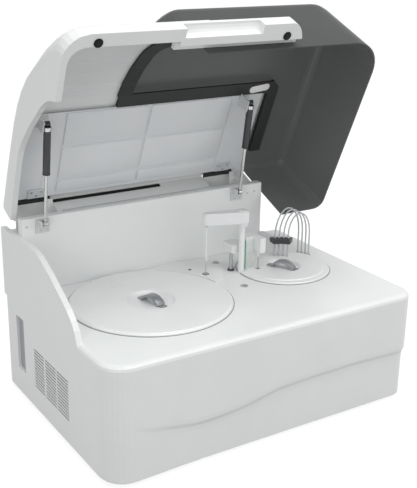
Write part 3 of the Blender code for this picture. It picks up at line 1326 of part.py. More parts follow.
def opened(y, z):
    """Give where a point of the shut cover lies with the cover open."""
    turn = math.radians(OPEN_ANGLE)
    dy, dz = y - HINGE_Y, z - HINGE_Z
    return (HINGE_Y + math.cos(turn) * dy + math.sin(turn) * dz,
            HINGE_Z - math.sin(turn) * dy + math.cos(turn) * dz)


def build_struts(axis):
    """Make the two gas struts, their wall mounts and the brackets in the cover."""
    lid_y, lid_z = opened(STRUT_LID_Y, STRUT_LID_Z)
    rise = math.hypot(lid_y - STRUT_BASE_Y, lid_z - STRUT_BASE_Z)
    lean = math.degrees(math.atan2(STRUT_BASE_Y - lid_y, lid_z - STRUT_BASE_Z))
    half = STRUT_EYE_W / 2
    for side, x in zip(("left", "right"), STRUT_XS):
        face = WALL_FRONT_Y - GAP
        mount = block("strut_mount_" + side,
                      (x - 0.020, face - BRACKET_T, STRUT_BASE_Z - 0.026),
                      (x + 0.016, face, STRUT_BASE_Z + 0.009), "steel")
        ear = block("strut_ear_form_" + side,
                    (x - half - 0.006 - BRACKET_T, STRUT_BASE_Y - 0.007, STRUT_BASE_Z - 0.008),
                    (x - half - 0.006, face - 0.001, STRUT_BASE_Z + 0.008), cutter=True)
        join(mount, ear)
        join(mount, lying("strut_stud_form_" + side, STRUT_STUD_R, x - half - 0.007, x + half,
                          STRUT_BASE_Y, STRUT_BASE_Z, cutter=True, sides=12))
        swing = pivot("strut_axis_" + side, (x, STRUT_BASE_Y, STRUT_BASE_Z), lean)
        rod_mesh = bpy.data.meshes.new("strut_rod_" + side)
        form = bmesh.new()
        turned(form, STRUT_EYE_R, STRUT_EYE_W, 18, (0.0, 0.0, 0.0), "X")
        form.to_mesh(rod_mesh)
        form.free()
        rod = add("strut_rod_" + side, rod_mesh, "steel")
        rod.parent = swing
        shank = bpy.data.meshes.new("shank_form")
        form = bmesh.new()
        turned(form, STRUT_ROD_R, STRUT_ROD_L, 12, (0.0, 0.0, STRUT_ROD_L / 2))
        form.to_mesh(shank)
        form.free()
        shank_obj = add("shank_form_" + side, shank, None, None, True)
        shank_obj.parent = swing
        join(rod, shank_obj)
        rod_bore = bpy.data.meshes.new("rod_bore_form")
        form = bmesh.new()
        turned(form, STRUT_STUD_R + GAP, STRUT_EYE_W * 2, 12, (0.0, 0.0, 0.0), "X")
        form.to_mesh(rod_bore)
        form.free()
        rod_bore_obj = add("rod_bore_form_" + side, rod_bore, None, None, True)
        rod_bore_obj.parent = swing
        cut(rod, rod_bore_obj)

        tube_mesh = bpy.data.meshes.new("strut_tube_" + side)
        form = bmesh.new()
        length = STRUT_TUBE_END - STRUT_TUBE_START
        middle = rise - (STRUT_TUBE_START + STRUT_TUBE_END) / 2
        turned(form, STRUT_TUBE_R, length, 18, (0.0, 0.0, middle))
        form.to_mesh(tube_mesh)
        form.free()
        barrel = add("strut_tube_" + side, tube_mesh, "strut_black")
        barrel.parent = swing
        eye = bpy.data.meshes.new("tube_eye_form")
        form = bmesh.new()
        turned(form, STRUT_EYE_R, STRUT_EYE_W, 18, (0.0, 0.0, rise), "X")
        form.to_mesh(eye)
        form.free()
        eye_obj = add("tube_eye_form_" + side, eye, None, None, True)
        eye_obj.parent = swing
        join(barrel, eye_obj)
        hollow = bpy.data.meshes.new("tube_hollow_form")
        form = bmesh.new()
        start = rise - STRUT_TUBE_END - 0.01
        end = rise - STRUT_TUBE_START - 0.0025
        turned(form, STRUT_ROD_R + GAP, end - start, 12, (0.0, 0.0, (start + end) / 2))
        form.to_mesh(hollow)
        form.free()
        hollow_obj = add("tube_hollow_form_" + side, hollow, None, None, True)
        hollow_obj.parent = swing
        cut(barrel, hollow_obj)

        ceiling = LINER_Z - GAP
        bracket = block("lid_bracket_" + side,
                        (x - half - 0.006 - BRACKET_T, STRUT_LID_Y - 0.010, STRUT_LID_Z - 0.009),
                        (x - half - 0.006, STRUT_LID_Y + 0.022, RIM_Z - 0.002), "steel", axis)
        neck = block("bracket_neck_form_" + side,
                     (x - half - 0.006 - BRACKET_T, LINER_FRONT_Y + 0.002, STRUT_LID_Z),
                     (x - half - 0.006, STRUT_LID_Y + 0.022, ceiling), None, axis, cutter=True)
        join(bracket, neck)
        flange = block("bracket_flange_form_" + side,
                       (x - half - 0.007 - BRACKET_T, LINER_FRONT_Y + 0.004, ceiling - BRACKET_T),
                       (x + 0.016, STRUT_LID_Y + 0.030, ceiling), None, axis, cutter=True)
        join(bracket, flange)
        join(bracket, lying("bracket_stud_form_" + side, STRUT_STUD_R, x - half - 0.007,
                            x - half - 0.0005, STRUT_LID_Y, STRUT_LID_Z, None, axis, 12, True))


# Inside

def build_inside():
    """Make the power supply and the control board on the base plate."""
    floor = FOOT_H + BASE_T + GAP
    width, depth, height = SUPPLY_SIZE
    supply = block("power_supply", (SUPPLY_X - width / 2, SUPPLY_Y - depth / 2, floor),
                   (SUPPLY_X + width / 2, SUPPLY_Y + depth / 2, floor + height), "zinc")
    slots = [((SUPPLY_X - width / 2 + 0.02 + 0.02 * index, SUPPLY_Y - depth / 2 + 0.02,
               floor + height - 0.002),
              (SUPPLY_X - width / 2 + 0.028 + 0.02 * index, SUPPLY_Y + depth / 2 - 0.02,
               floor + height + 0.01)) for index in range(6)]
    cut(supply, many("supply_slot_forms", slots))
    width, depth, height = BOARD_SIZE
    low = floor + STANDOFF_H
    board = block("control_board", (BOARD_X - width / 2, BOARD_Y - depth / 2, low),
                  (BOARD_X + width / 2, BOARD_Y + depth / 2, low + height), "board_green")
    posts = [(BOARD_X + sx * (width / 2 - 0.010), BOARD_Y + sy * (depth / 2 - 0.010), STANDOFF_R)
             for sx in (-1, 1) for sy in (-1, 1)]
    join(board, drills("standoff_forms", posts, floor, low + height / 2, 8))
    chips = many("chip_forms", [
        ((BOARD_X + x - 0.012, BOARD_Y + y - 0.012, low + height / 2),
         (BOARD_X + x + 0.012, BOARD_Y + y + 0.012, low + height + 0.003))
        for x, y in ((-0.06, 0.02), (0.02, -0.02), (0.07, 0.03))])
    join(board, chips)
    return board


def main():
    """Build the analyzer from the base up."""
    lid_axis = pivot("lid_axis", HINGE, -OPEN_ANGLE)
    build_casing()
    build_hinge_wall()
    build_rear_panel()
    build_reagent()
    build_reaction()
    build_plate()
    build_sampler()
    build_mixer()
    build_wash()
    build_lid(lid_axis)
    build_liner(lid_axis)
    build_hood(lid_axis)
    build_rim(lid_axis)
    build_hinges(lid_axis)
    build_struts(lid_axis)
    build_inside()
    bpy.context.view_layer.update()


main()
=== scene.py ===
"""Looks of the benchtop chemistry analyzer: finishes, small fittings, studio and camera.

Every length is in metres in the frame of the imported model: the origin is at the middle of the
footprint on the bench, +X is the operator's right and the front of the machine faces -Y. Pieces
of the cover are described where they lie with the cover shut, and are turned open once.
"""

import logging
import math
from dataclasses import dataclass
from enum import Enum
from typing import Any, Callable, Dict, Mapping, Optional, Sequence, Tuple

import bmesh
import bpy
from mathutils import Matrix, Vector


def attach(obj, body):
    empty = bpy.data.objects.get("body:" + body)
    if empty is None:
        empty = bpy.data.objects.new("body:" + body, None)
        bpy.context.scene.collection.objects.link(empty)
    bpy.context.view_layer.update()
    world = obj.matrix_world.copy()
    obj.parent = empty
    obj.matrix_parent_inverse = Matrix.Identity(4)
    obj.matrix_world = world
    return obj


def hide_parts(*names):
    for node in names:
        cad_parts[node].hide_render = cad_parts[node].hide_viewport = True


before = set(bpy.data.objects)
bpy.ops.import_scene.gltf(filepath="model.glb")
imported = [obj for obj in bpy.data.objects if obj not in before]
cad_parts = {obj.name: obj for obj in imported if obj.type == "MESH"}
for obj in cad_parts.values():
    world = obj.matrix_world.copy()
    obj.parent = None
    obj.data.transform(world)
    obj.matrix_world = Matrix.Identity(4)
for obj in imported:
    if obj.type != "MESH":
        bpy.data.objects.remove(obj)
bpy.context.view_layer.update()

Colour = Tuple[float, float, float, float]
Point = Tuple[float, float, float]
Spot = Tuple[float, float]
Spots = Tuple[Spot, ...]
# Where a box starts and ends along X, Y and Z
Box = Tuple[Spot, Spot, Spot]
# Radius of a ring's hole, its outer radius, its height and its number of sides
Ring = Tuple[float, float, float, int]
Test = Callable[[Vector, Vector], bool]
Tree = bpy.types.NodeTree
Socket = bpy.types.NodeSocket
LOG = logging.getLogger("analyzer")

DECK_Z = 0.292
PLATE_TOP_Z = 0.2963
LINER_Z = 0.4855
HINGE_Y = 0.278
HINGE_Z = 0.500
OPEN_DEGREES = 67.0
STRUT_XS = (-0.362, 0.205)
STRUT_FOOT = (0.172, 0.468)
REACTION_CENTRE = (0.242, 0.013)
COLUMN = (0.125, 0.040)
PROBE_TIP = (0.0330, 0.0671)

# What is added to the name of each copy of a fitting
SIDED = ("_left", "_right")
NUMBERED = tuple("_%d" % index for index in range(12))
ALONE = ("",)

# Cosines that tell a direction along an axis from one across it
ALONG = 0.99
ACROSS = 0.1
SMOOTH_DEGREES = 35.0
WELD = 0.00001

# Shares of a screw head: where its top begins, how deep it is rounded and hollowed, how near
# its axis the top face lies, and the border round its socket
HEAD_TOP = 0.9
HEAD_CUT = 0.45
HEAD_CENTRE = 0.05
HEAD_WALL = 0.30
# Share of a ring's thinner side that its edges are softened by
RING_EDGE = 0.28


class Body(Enum):
    """Moving groups of the machine that carry pieces."""

    BASE = "base"
    LID = "lid"
    ROD_LEFT = "strut_rod_left_body"
    ROD_RIGHT = "strut_rod_right_body"
    TUBE_LEFT = "strut_tube_left_body"
    TUBE_RIGHT = "strut_tube_right_body"
    LIFTER = "sampler_lifter"
    SAMPLER = "sampler"
    MIXER = "mixer"
    WASH = "wash_head"


class Slot(Enum):
    """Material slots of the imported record."""

    BODY_WHITE = "body_white"
    INNER_WHITE = "inner_white"
    SMOKED = "smoked"
    RIM_DARK = "rim_dark"
    RUBBER = "rubber"
    STEEL = "steel"
    STRUT_BLACK = "strut_black"
    HANDLE_GREY = "handle_grey"
    CLEAR = "clear"
    BOARD_GREEN = "board_green"
    ZINC = "zinc"
    BLACK_PLASTIC = "black_plastic"


class Aim(Enum):
    """Directions that a fastener or ring can face."""

    UP = (0.0, 0.0, 1.0)
    DOWN = (0.0, 0.0, -1.0)
    FRONT = (0.0, -1.0, 0.0)
    REAR = (0.0, 1.0, 0.0)
    STRUT = (0.0, -0.15368, 0.98812)


class Pick(Enum):
    """Parts of a mesh that can be selected."""

    FACE = "faces"
    EDGE = "edges"


def linear(colour: str) -> Colour:
    """Turn an sRGB hex colour into linear light.

    Args:
        colour: the colour as six hex digits with a leading hash.

    Returns:
        Red, green, blue and an alpha of one.
    """
    values = [int(colour[at:at + 2], 16) / 255 for at in (1, 3, 5)]
    light = [v / 12.92 if v <= 0.04045 else ((v + 0.055) / 1.055) ** 2.4 for v in values]
    return (light[0], light[1], light[2], 1.0)


def feed(tree: Tree, node: bpy.types.Node, links: Mapping[Any, Any]) -> None:
    """Link or write inputs of a node.

    Args:
        tree: the node's tree.
        node: the node.
        links: for each input, an output socket to link or a value to write.
    """
    for key, value in links.items():
        if isinstance(value, Socket):
            tree.links.new(value, node.inputs[key])
        else:
            node.inputs[key].default_value = value


def add_node(tree: Tree, kind: str, links: Mapping[Any, Any], **settings: Any) -> bpy.types.Node:
    """Add a shader node.

    Args:
        tree: the node tree that gets it.
        kind: its type name after "ShaderNode".
        links: for each input, an output socket to link or a value to write.
        **settings: properties of the node.

    Returns:
        The new node.
    """
    node = tree.nodes.new("ShaderNode" + kind)
    for name, value in settings.items():
        setattr(node, name, value)
    feed(tree, node, links)
    return node


# Finishes

@dataclass(frozen=True)
class Paint:
    """A material in the making."""

    finish: "Finish"
    tree: Tree
    shader: bpy.types.Node
    place: Socket

    def shade(self, links: Mapping[str, Any]) -> None:
        """Set inputs of the surface shader.

        Args:
            links: for each input, an output socket to link or a value to write.
        """
        feed(self.tree, self.shader, links)

    def pattern(self, kind: str, size: float, output: str, **more: Any) -> Socket:
        """Add a pattern.

        Args:
            kind: "Noise" or "Voronoi".
            size: width of its patches, in metres.
            output: the output that is wanted.
            **more: its other inputs.

        Returns:
            That output.
        """
        links = {"Vector": self.place, "Scale": 1 / size, **more}
        return add_node(self.tree, "Tex" + kind, links).outputs[output]

    def ramp(self, pattern: Socket, stops: Sequence[Tuple[float, str]]) -> None:
        """Colour the surface by a grey pattern.

        Args:
            pattern: the grey pattern.
            stops: positions from 0 to 1, each with its hex colour.
        """
        node = add_node(self.tree, "ValToRGB", {"Fac": pattern})
        for element, (position, colour) in zip(node.color_ramp.elements, stops):
            element.position = position
            element.color = linear(colour)
        self.shade({"Base Color": node.outputs["Color"]})

    def gloss(self, pattern: Socket, below: float, above: float, span: Spot = (0.0, 1.0)) -> None:
        """Let a pattern change the finish's roughness.

        Args:
            pattern: the grey pattern.
            below: how far the roughness drops.
            above: how far it rises.
            span: the values of the pattern at its lowest and highest.
        """
        rough = self.finish.roughness
        node = add_node(self.tree, "MapRange",
                        {"Value": pattern, "From Min": span[0], "From Max": span[1],
                         "To Min": rough - below, "To Max": rough + above})
        self.shade({"Roughness": node.outputs["Result"]})

    def tone(self, size: float, second: str, below: float, above: float) -> None:
        """Let the colour and gloss drift slowly over the surface.

        Args:
            size: width of the drifting patches, in metres.
            second: the colour that the finish's own drifts to.
            below: how far the roughness drops.
            above: how far it rises.
        """
        drift = self.pattern("Noise", size, "Fac", Detail=3.0, Roughness=0.55)
        self.ramp(drift, ((0.35, self.finish.colour), (0.65, second)))
        self.gloss(drift, below, above, (0.3, 0.7))

    def relief(self, height: Socket, depth: float, strength: float) -> None:
        """Let a pattern raise the surface.

        Args:
            height: the pattern.
            depth: how high the pattern stands, in metres.
            strength: how much of it shows.
        """
        bump = add_node(self.tree, "Bump", {"Strength": strength, "Distance": depth, "Height": height})
        self.shade({"Normal": bump.outputs["Normal"]})

    def peel(self) -> None:
        """Raise the faint orange peel of stoved enamel."""
        self.relief(self.pattern("Noise", 0.004, "Fac", Detail=1.0), 0.00006, 0.3)


@dataclass(frozen=True)
class Finish:
    """A finish that is dressed on pieces through one shared material."""

    title: str
    slot: Slot
    colour: str
    roughness: float

    def material(self) -> bpy.types.Material:
        """Give this finish's material, made on first use.

        Returns:
            The material.
        """
        found = bpy.data.materials.get(self.title)
        if found:
            return found
        made = bpy.data.materials.new(self.title)
        made.use_nodes = True
        made.diffuse_color = linear(self.colour)
        tree = made.node_tree
        paint = Paint(self, tree, tree.nodes["Principled BSDF"],
                      add_node(tree, "TexCoord", {}).outputs["Object"])
        paint.shade({"Base Color": linear(self.colour), "Roughness": self.roughness})
        self.dress(paint)
        return made

    def dress(self, paint: Paint) -> None:
        """Add this finish's patterns to its shader.

        Args:
            paint: the material.
        """
        raise NotImplementedError


@dataclass(frozen=True)
class MouldedPlastic(Finish):
    """ABS from a spark-eroded mould: a fine even pebble that softens the gloss.

    The real pebble is 0.5 mm across and is drawn coarser, so that it shows.
    """

    second: str = "#ffffff"
    strength: float = 0.35
    coat: float = 0.0
    drift: float = 0.14
    pebble: float = 0.003
    depth: float = 0.00004
    ior: float = 1.53

    def dress(self, paint: Paint) -> None:
        """Add the drift of tone and the pebble.

        Args:
            paint: the material.
        """
        paint.tone(self.drift, self.second, 0.03, 0.04)
        paint.shade({"Coat Weight": self.coat, "Coat Roughness": 0.18, "IOR": self.ior})
        pebble = paint.pattern("Noise", self.pebble, "Fac", Detail=2.0, Roughness=0.6)
        paint.relief(pebble, self.depth, self.strength)


@dataclass(frozen=True)
class SmokedAcrylic(Finish):
    """Vacuum-formed smoked acrylic: dark, with a little light coming through."""

    second: str = "#555857"
    passing: float = 0.035
    drift: float = 0.25
    wave: float = 0.060
    ior: float = 1.49

    def dress(self, paint: Paint) -> None:
        """Add the faint waves that forming leaves, and the light that passes.

        Args:
            paint: the material.
        """
        paint.tone(self.drift, self.second, 0.0, 0.06)
        # The sheet is closed, so light meets two of its faces
        paint.shade({"IOR": self.ior, "Specular IOR Level": 0.30,
                     "Alpha": 1.0 - math.sqrt(self.passing)})
        paint.relief(paint.pattern("Noise", self.wave, "Fac", Detail=1.0), 0.0003, 0.08)


@dataclass(frozen=True)
class DrawnSteel(Finish):
    """Bright drawn stainless steel: fine lines along the drawing direction."""

    along: Point = (1.0, 1.0, 0.04)
    line: float = 0.0012
    dark: str = "#b9bbba"

    def dress(self, paint: Paint) -> None:
        """Add the drawing lines.

        Args:
            paint: the material.
        """
        stretched = add_node(paint.tree, "Mapping", {"Vector": paint.place, "Scale": self.along})
        lines = paint.pattern("Noise", self.line, "Fac", Vector=stretched.outputs["Vector"],
                              Detail=3.0, Roughness=0.7)
        paint.shade({"Metallic": 1.0})
        paint.ramp(lines, ((0.3, self.dark), (0.7, self.colour)))
        paint.gloss(lines, 0.08, 0.12)
        paint.relief(lines, 0.00003, 0.2)


@dataclass(frozen=True)
class Enamel(Finish):
    """Stoved enamel on metal: a smooth coat with a faint orange peel."""

    second: str = "#2c2d30"
    metallic: float = 0.0
    coat: float = 0.3
    drift: float = 0.03

    def dress(self, paint: Paint) -> None:
        """Add the orange peel under a clear coat.

        Args:
            paint: the material.
        """
        paint.tone(self.drift, self.second, 0.04, 0.06)
        paint.shade({"Metallic": self.metallic, "Coat Weight": self.coat, "Coat Roughness": 0.12})
        paint.peel()


@dataclass(frozen=True)
class Rubber(Finish):
    """Moulded rubber or foam strip: dull, with a grain of pores."""

    pit: str = "#141414"
    pore: float = 0.0016

    def dress(self, paint: Paint) -> None:
        """Add the pores.

        Args:
            paint: the material.
        """
        pores = paint.pattern("Voronoi", self.pore, "Distance")
        paint.ramp(pores, ((0.1, self.pit), (0.7, self.colour)))
        paint.shade({"Specular IOR Level": 0.3})
        paint.relief(pores, 0.0002, 0.4)


@dataclass(frozen=True)
class ClearAcrylic(Finish):
    """Cast clear acrylic with a faint green body."""

    body: float = 0.14
    wave: float = 0.012
    ior: float = 1.49

    def dress(self, paint: Paint) -> None:
        """Let light through and add the faint cast waves.

        Args:
            paint: the material.
        """
        paint.shade({"Alpha": self.body, "IOR": self.ior})
        paint.relief(paint.pattern("Noise", self.wave, "Fac", Detail=1.0), 0.0002, 0.15)


@dataclass(frozen=True)
class ZincSheet(Finish):
    """Hot-dip zinc sheet: metal with broad pale crystals."""

    crystal: float = 0.014
    dark: str = "#b2b6b8"

    def dress(self, paint: Paint) -> None:
        """Add the crystals.

        Args:
            paint: the material.
        """
        crystals = paint.pattern("Voronoi", self.crystal, "Color")
        grey = add_node(paint.tree, "SeparateColor", {"Color": crystals}).outputs
        paint.shade({"Metallic": 0.85})
        paint.ramp(grey["Red"], ((0.0, self.dark), (1.0, self.colour)))
        paint.gloss(grey["Green"], 0.05, 0.05)
        paint.relief(grey["Blue"], 0.00002, 0.1)


@dataclass(frozen=True)
class BoardLacquer(Finish):
    """Green lacquer over copper tracks."""

    second: str = "#1d6b3f"
    track: str = "#3f8f57"
    pitch: float = 0.020

    def dress(self, paint: Paint) -> None:
        """Add the tracks under the lacquer.

        Args:
            paint: the material.
        """
        tracks = add_node(paint.tree, "TexBrick",
                          {"Vector": paint.place, "Scale": 1 / self.pitch, "Mortar Size": 0.06,
                           "Color1": linear(self.colour), "Color2": linear(self.second),
                           "Mortar": linear(self.track)}, offset=0.37, squash=0.6).outputs
        paint.shade({"Base Color": tracks["Color"]})
        paint.relief(tracks["Fac"], 0.00004, 0.4)


@dataclass(frozen=True)
class TwoTone(Finish):
    """Piece with one colour below a place on an axis and another beyond it."""

    upper: str
    axis: str
    change: float

    def dress(self, paint: Paint) -> None:
        """Change the colour at one place.

        Args:
            paint: the material.
        """
        parts = add_node(paint.tree, "SeparateXYZ", {"Vector": paint.place})
        above = add_node(paint.tree, "Math", {0: parts.outputs[self.axis], 1: self.change},
                         operation="GREATER_THAN")
        paint.ramp(above.outputs["Value"], ((0.0, self.colour), (1.0, self.upper)))
        paint.peel()


WHITE_ABS = MouldedPlastic("moulded_white_abs", Slot.BODY_WHITE, "#eaecec", 0.36, "#edeeee", coat=0.12)
DECK_ABS = MouldedPlastic("moulded_cover_abs", Slot.BODY_WHITE, "#e9eaea", 0.30, "#edeeee", coat=0.20)
WINDOW_ABS = MouldedPlastic("translucent_white_window", Slot.BODY_WHITE, "#fbfbfb", 0.30)
INNER_ABS = MouldedPlastic("moulded_inner_abs", Slot.INNER_WHITE, "#e3e6e9", 0.48, "#e7e9eb", 0.45)
POCKET_ABS = MouldedPlastic("moulded_grey_abs", Slot.INNER_WHITE, "#a3a6ac", 0.50, "#a9acb2")
ARM_ABS = MouldedPlastic("moulded_arm_abs", Slot.BODY_WHITE, "#e4e6e7", 0.30, "#e9eaea", coat=0.25)
# Dark grey for the strips of painted shade that stand in the vent slits
VENT_SHADE_ABS = MouldedPlastic("shaded_vent_abs", Slot.INNER_WHITE, "#777a7e", 0.60, "#7f8286")
BLACK_ABS = MouldedPlastic("moulded_black_abs", Slot.BLACK_PLASTIC, "#242528", 0.48, "#2b2c2f", 0.5)
DARK_ABS = MouldedPlastic("moulded_dark_abs", Slot.BLACK_PLASTIC, "#3c3d40", 0.40, "#45464a", 0.5)
RIM_ABS = MouldedPlastic("moulded_rim_abs", Slot.RIM_DARK, "#1a1c1c", 0.60, "#1f2121", 0.4)
HOOD_ACRYLIC = SmokedAcrylic("smoked_acrylic", Slot.SMOKED, "#505352", 0.28)
STEEL = DrawnSteel("drawn_steel", Slot.STEEL, "#d4d5d4", 0.26)
STEEL_CROSS = DrawnSteel("drawn_steel_cross", Slot.STEEL, "#d4d5d4", 0.26, (0.04, 1.0, 1.0))
STRUT_ENAMEL = Enamel("black_enamel", Slot.STRUT_BLACK, "#202124", 0.34)
HANDLE_ENAMEL = Enamel("grey_metal_enamel", Slot.HANDLE_GREY, "#94979a", 0.36, "#a0a3a5", 0.45)
PALE_RUBBER = Rubber("pale_rubber", Slot.RUBBER, "#c6c8c9", 0.70, "#b2b4b6")
# Grey for thin rings of painted shade in the gaps round the carousel covers
GAP_SHADE_GREY = Rubber("grey_rubber", Slot.RUBBER, "#9a9c9e", 0.70, "#85878a")
BLACK_RUBBER = Rubber("black_rubber", Slot.RUBBER, "#232323", 0.80)
GUARD_ACRYLIC = ClearAcrylic("clear_acrylic", Slot.CLEAR, "#e4f1ea", 0.05)
GUARD_EDGE = MouldedPlastic("cut_green_edge", Slot.CLEAR, "#2c8a57", 0.30, "#33965f")
ZINC = ZincSheet("zinc_sheet", Slot.ZINC, "#c0c4c6", 0.46)
BOARD = BoardLacquer("board_lacquer", Slot.BOARD_GREEN, "#155a33", 0.35)
PALE_ENAMEL = Enamel("white_enamel", Slot.STEEL, "#cfd2d2", 0.36, "#d8dada")
SILICONE = MouldedPlastic("pale_silicone_tube", Slot.STEEL, "#b9bdbf", 0.28, "#c6c9ca", coat=0.3)
WASH_FINISH = TwoTone("two_tone_abs", Slot.INNER_WHITE, "#3a3b3e", 0.40, "#e2e4e5", "Y", 0.0980)
HINGE_PLATE = TwoTone("hinge_leaf_enamel", Slot.BLACK_PLASTIC, "#26272a", 0.40, "#d4d7da", "Z", 0.5085)
HINGE_FOOT = TwoTone("hinge_bracket", Slot.BLACK_PLASTIC, "#dfe1e1", 0.40, "#26272a", "Z", 0.4890)

DRESSES: Tuple[Tuple[Finish, str], ...] = (
    (WHITE_ABS, "main_housing hinge_wall lid_shell"),
    (DECK_ABS, "reagent_cover reaction_cover centre_plate"),
    (ARM_ABS, "sampler_arm mixer_block sampler_column"),
    (INNER_ABS, "lid_liner reagent_well reaction_well reagent_rotor reaction_rotor"),
    (WASH_FINISH, "wash_bar"),
    (HOOD_ACRYLIC, "lid_hood"),
    (RIM_ABS, "hood_rim"),
    (BLACK_RUBBER, "foot_front_left foot_front_right foot_rear_left foot_rear_right"),
    (BLACK_RUBBER, "bumper_left bumper_right"),
    (PALE_RUBBER, "wall_seal"),
    (STEEL, "sampler_probe mixer_shaft stirrer_left stirrer_right wash_post"),
    (STEEL, "strut_rod_left strut_rod_right"),
    (SILICONE, "wash_tube_1 wash_tube_2 wash_tube_3 wash_tube_4"),
    (STEEL_CROSS, "hinge_pin_left hinge_pin_right"),
    (PALE_ENAMEL, "strut_mount_left strut_mount_right lid_bracket_left lid_bracket_right"),
    (STRUT_ENAMEL, "strut_tube_left strut_tube_right"),
    (HANDLE_ENAMEL, "reagent_handle reaction_handle"),
    (GUARD_ACRYLIC, "splash_guard"),
    (BOARD, "control_board"),
    (ZINC, "base_plate rear_panel reagent_motor reaction_motor power_supply"),
    (BLACK_ABS, "fan_frame fan_rotor power_inlet power_switch"),
    (HINGE_FOOT, "hinge_base_left hinge_base_right"),
    (HINGE_PLATE, "hinge_leaf_left hinge_leaf_right"),
)
NODE_FINISHES: Dict[str, Finish] = {
    name: finish for finish, names in DRESSES for name in names.split()}


# Modelling

def lid_turn() -> Matrix:
    """Give the turn that opens the cover about its hinge.

    Returns:
        The matrix from the shut place to the open place.
    """
    hinge = Vector((0.0, HINGE_Y, HINGE_Z))
    turn = Matrix.Rotation(-math.radians(OPEN_DEGREES), 4, "X")
    return Matrix.Translation(hinge) @ turn @ Matrix.Translation(-hinge)


def facing(aim: Aim, place: Point) -> Matrix:
    """Give the placing of a piece that was modelled standing up at the origin.

    Args:
        aim: where its top faces.
        place: where its foot goes.

    Returns:
        The placing matrix.
    """
    turn = Vector(Aim.UP.value).rotation_difference(Vector(aim.value))
    return Matrix.Translation(Vector(place)) @ turn.to_matrix().to_4x4()


def fitted(stem: str, ends: Sequence[str], aim: Aim, places: Sequence[Point]) -> Dict[str, Matrix]:
    """Name and place fittings of one kind.

    Args:
        stem: what their names start with.
        ends: what is added to each name.
        aim: where their tops face.
        places: where their feet go.

    Returns:
        For each name, its placing.
    """
    return {stem + end: facing(aim, place) for end, place in zip(ends, places)}


def round_about(centre: Spot, radius: float, degrees: float, height: float) -> Point:
    """Give a place on a level circle.

    Args:
        centre: its centre in plan.
        radius: its radius.
        degrees: the direction from the centre, from +X.
        height: its height.

    Returns:
        The place.
    """
    turn = math.radians(degrees)
    return (centre[0] + radius * math.cos(turn), centre[1] + radius * math.sin(turn), height)


@dataclass
class Piece:
    """One modelled piece, from its primitive to its place on a body."""

    name: str
    obj: Optional[bpy.types.Object] = None

    def begin(self, add: Callable[..., Any], **sizes: Any) -> "Piece":
        """Add the primitive that the piece starts from.

        Args:
            add: the operator that adds it.
            **sizes: the operator's sizes and place.

        Returns:
            The piece itself.
        """
        add(**sizes)
        self.obj = bpy.context.object
        self.obj.name = self.name
        bpy.ops.object.transform_apply(location=True, rotation=True, scale=True)
        return self

    def select(self, pick: Pick, test: Test) -> "Piece":
        """Select faces by centre and normal, or edges by middle and direction.

        Args:
            pick: which of them.
            test: tells whether one is wanted.

        Returns:
            The piece itself, in edit mode.
        """
        bpy.context.view_layer.objects.active = self.obj
        if bpy.context.object.mode != "EDIT":
            bpy.ops.object.mode_set(mode="EDIT")
        bpy.ops.mesh.select_mode(type=pick.name)
        bpy.ops.mesh.select_all(action="DESELECT")
        form = bmesh.from_edit_mesh(self.obj.data)
        for item in getattr(form, pick.value):
            if pick is Pick.FACE:
                place, way = item.calc_center_median(), item.normal
            else:
                first, last = (corner.co for corner in item.verts)
                place, way = (first + last) / 2, (last - first).normalized()
            item.select_set(test(place, way))
        bmesh.update_edit_mesh(self.obj.data)
        return self

    def bevel(self, test: Test, width: float, segments: int) -> "Piece":
        """Bevel edges.

        Args:
            test: tells by its middle and direction whether an edge is wanted.
            width: width of the bevel.
            segments: how many faces go across it.

        Returns:
            The piece itself, in edit mode.
        """
        self.select(Pick.EDGE, test)
        bpy.ops.mesh.bevel(offset=width, segments=segments, affect="EDGES")
        return self

    def close(self) -> "Piece":
        """Leave edit mode with the faces turned outwards.

        Returns:
            The piece itself.
        """
        bpy.ops.mesh.select_all(action="SELECT")
        bpy.ops.mesh.remove_doubles(threshold=WELD)
        bpy.ops.mesh.normals_make_consistent(inside=False)
        bpy.ops.object.mode_set(mode="OBJECT")
        return self

    def modify(self, kind: str, **settings: Any) -> "Piece":
        """Add a modifier and apply it.

        Args:
            kind: the modifier's type.
            **settings: its settings.

        Returns:
            The piece itself.
        """
        bpy.context.view_layer.objects.active = self.obj
        modifier = self.obj.modifiers.new(kind.title(), kind)
        for key, value in settings.items():
            setattr(modifier, key, value)
        bpy.ops.object.modifier_apply(modifier=modifier.name)
        return self

    def place(self, placing: Matrix) -> "Piece":
        """Move the piece's mesh.

        Args:
            placing: where it goes.

        Returns:
            The piece itself.
        """
        self.obj.data.transform(placing)
        return self

    def spread(self, placings: Mapping[str, Matrix], finish: Finish, body: Body,
               turned: bool = False) -> None:
        """Mount a copy with its own mesh at every place and remove the piece.

        Args:
            placings: for each copy's name, where it goes.
            finish: their finish.
            body: the body that carries them.
            turned: True where they were described on the shut cover.
        """
        for name, placing in placings.items():
            other = self.obj.copy()
            other.data = self.obj.data.copy()
            other.name = name
            bpy.context.scene.collection.objects.link(other)
            Piece(name, other).place(placing).mount(finish, body, turned)
        bpy.data.objects.remove(self.obj, do_unlink=True)

    def mount(self, finish: Finish, body: Body, turned: bool = False) -> None:
        """Dress the piece and let it ride on a body.

        Args:
            finish: its finish.
            body: the body that carries it.
            turned: True where it was described on the shut cover.
        """
        if turned:
            self.place(lid_turn())
        bpy.ops.object.select_all(action="DESELECT")
        self.obj.select_set(True)
        bpy.context.view_layer.objects.active = self.obj
        bpy.ops.object.shade_smooth_by_angle(angle=math.radians(SMOOTH_DEGREES))
        self.obj.data.materials.clear()
        self.obj.data.materials.append(finish.material())
        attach(self.obj, body.value)
        LOG.info("%s on %s", self.obj.name, body.value)


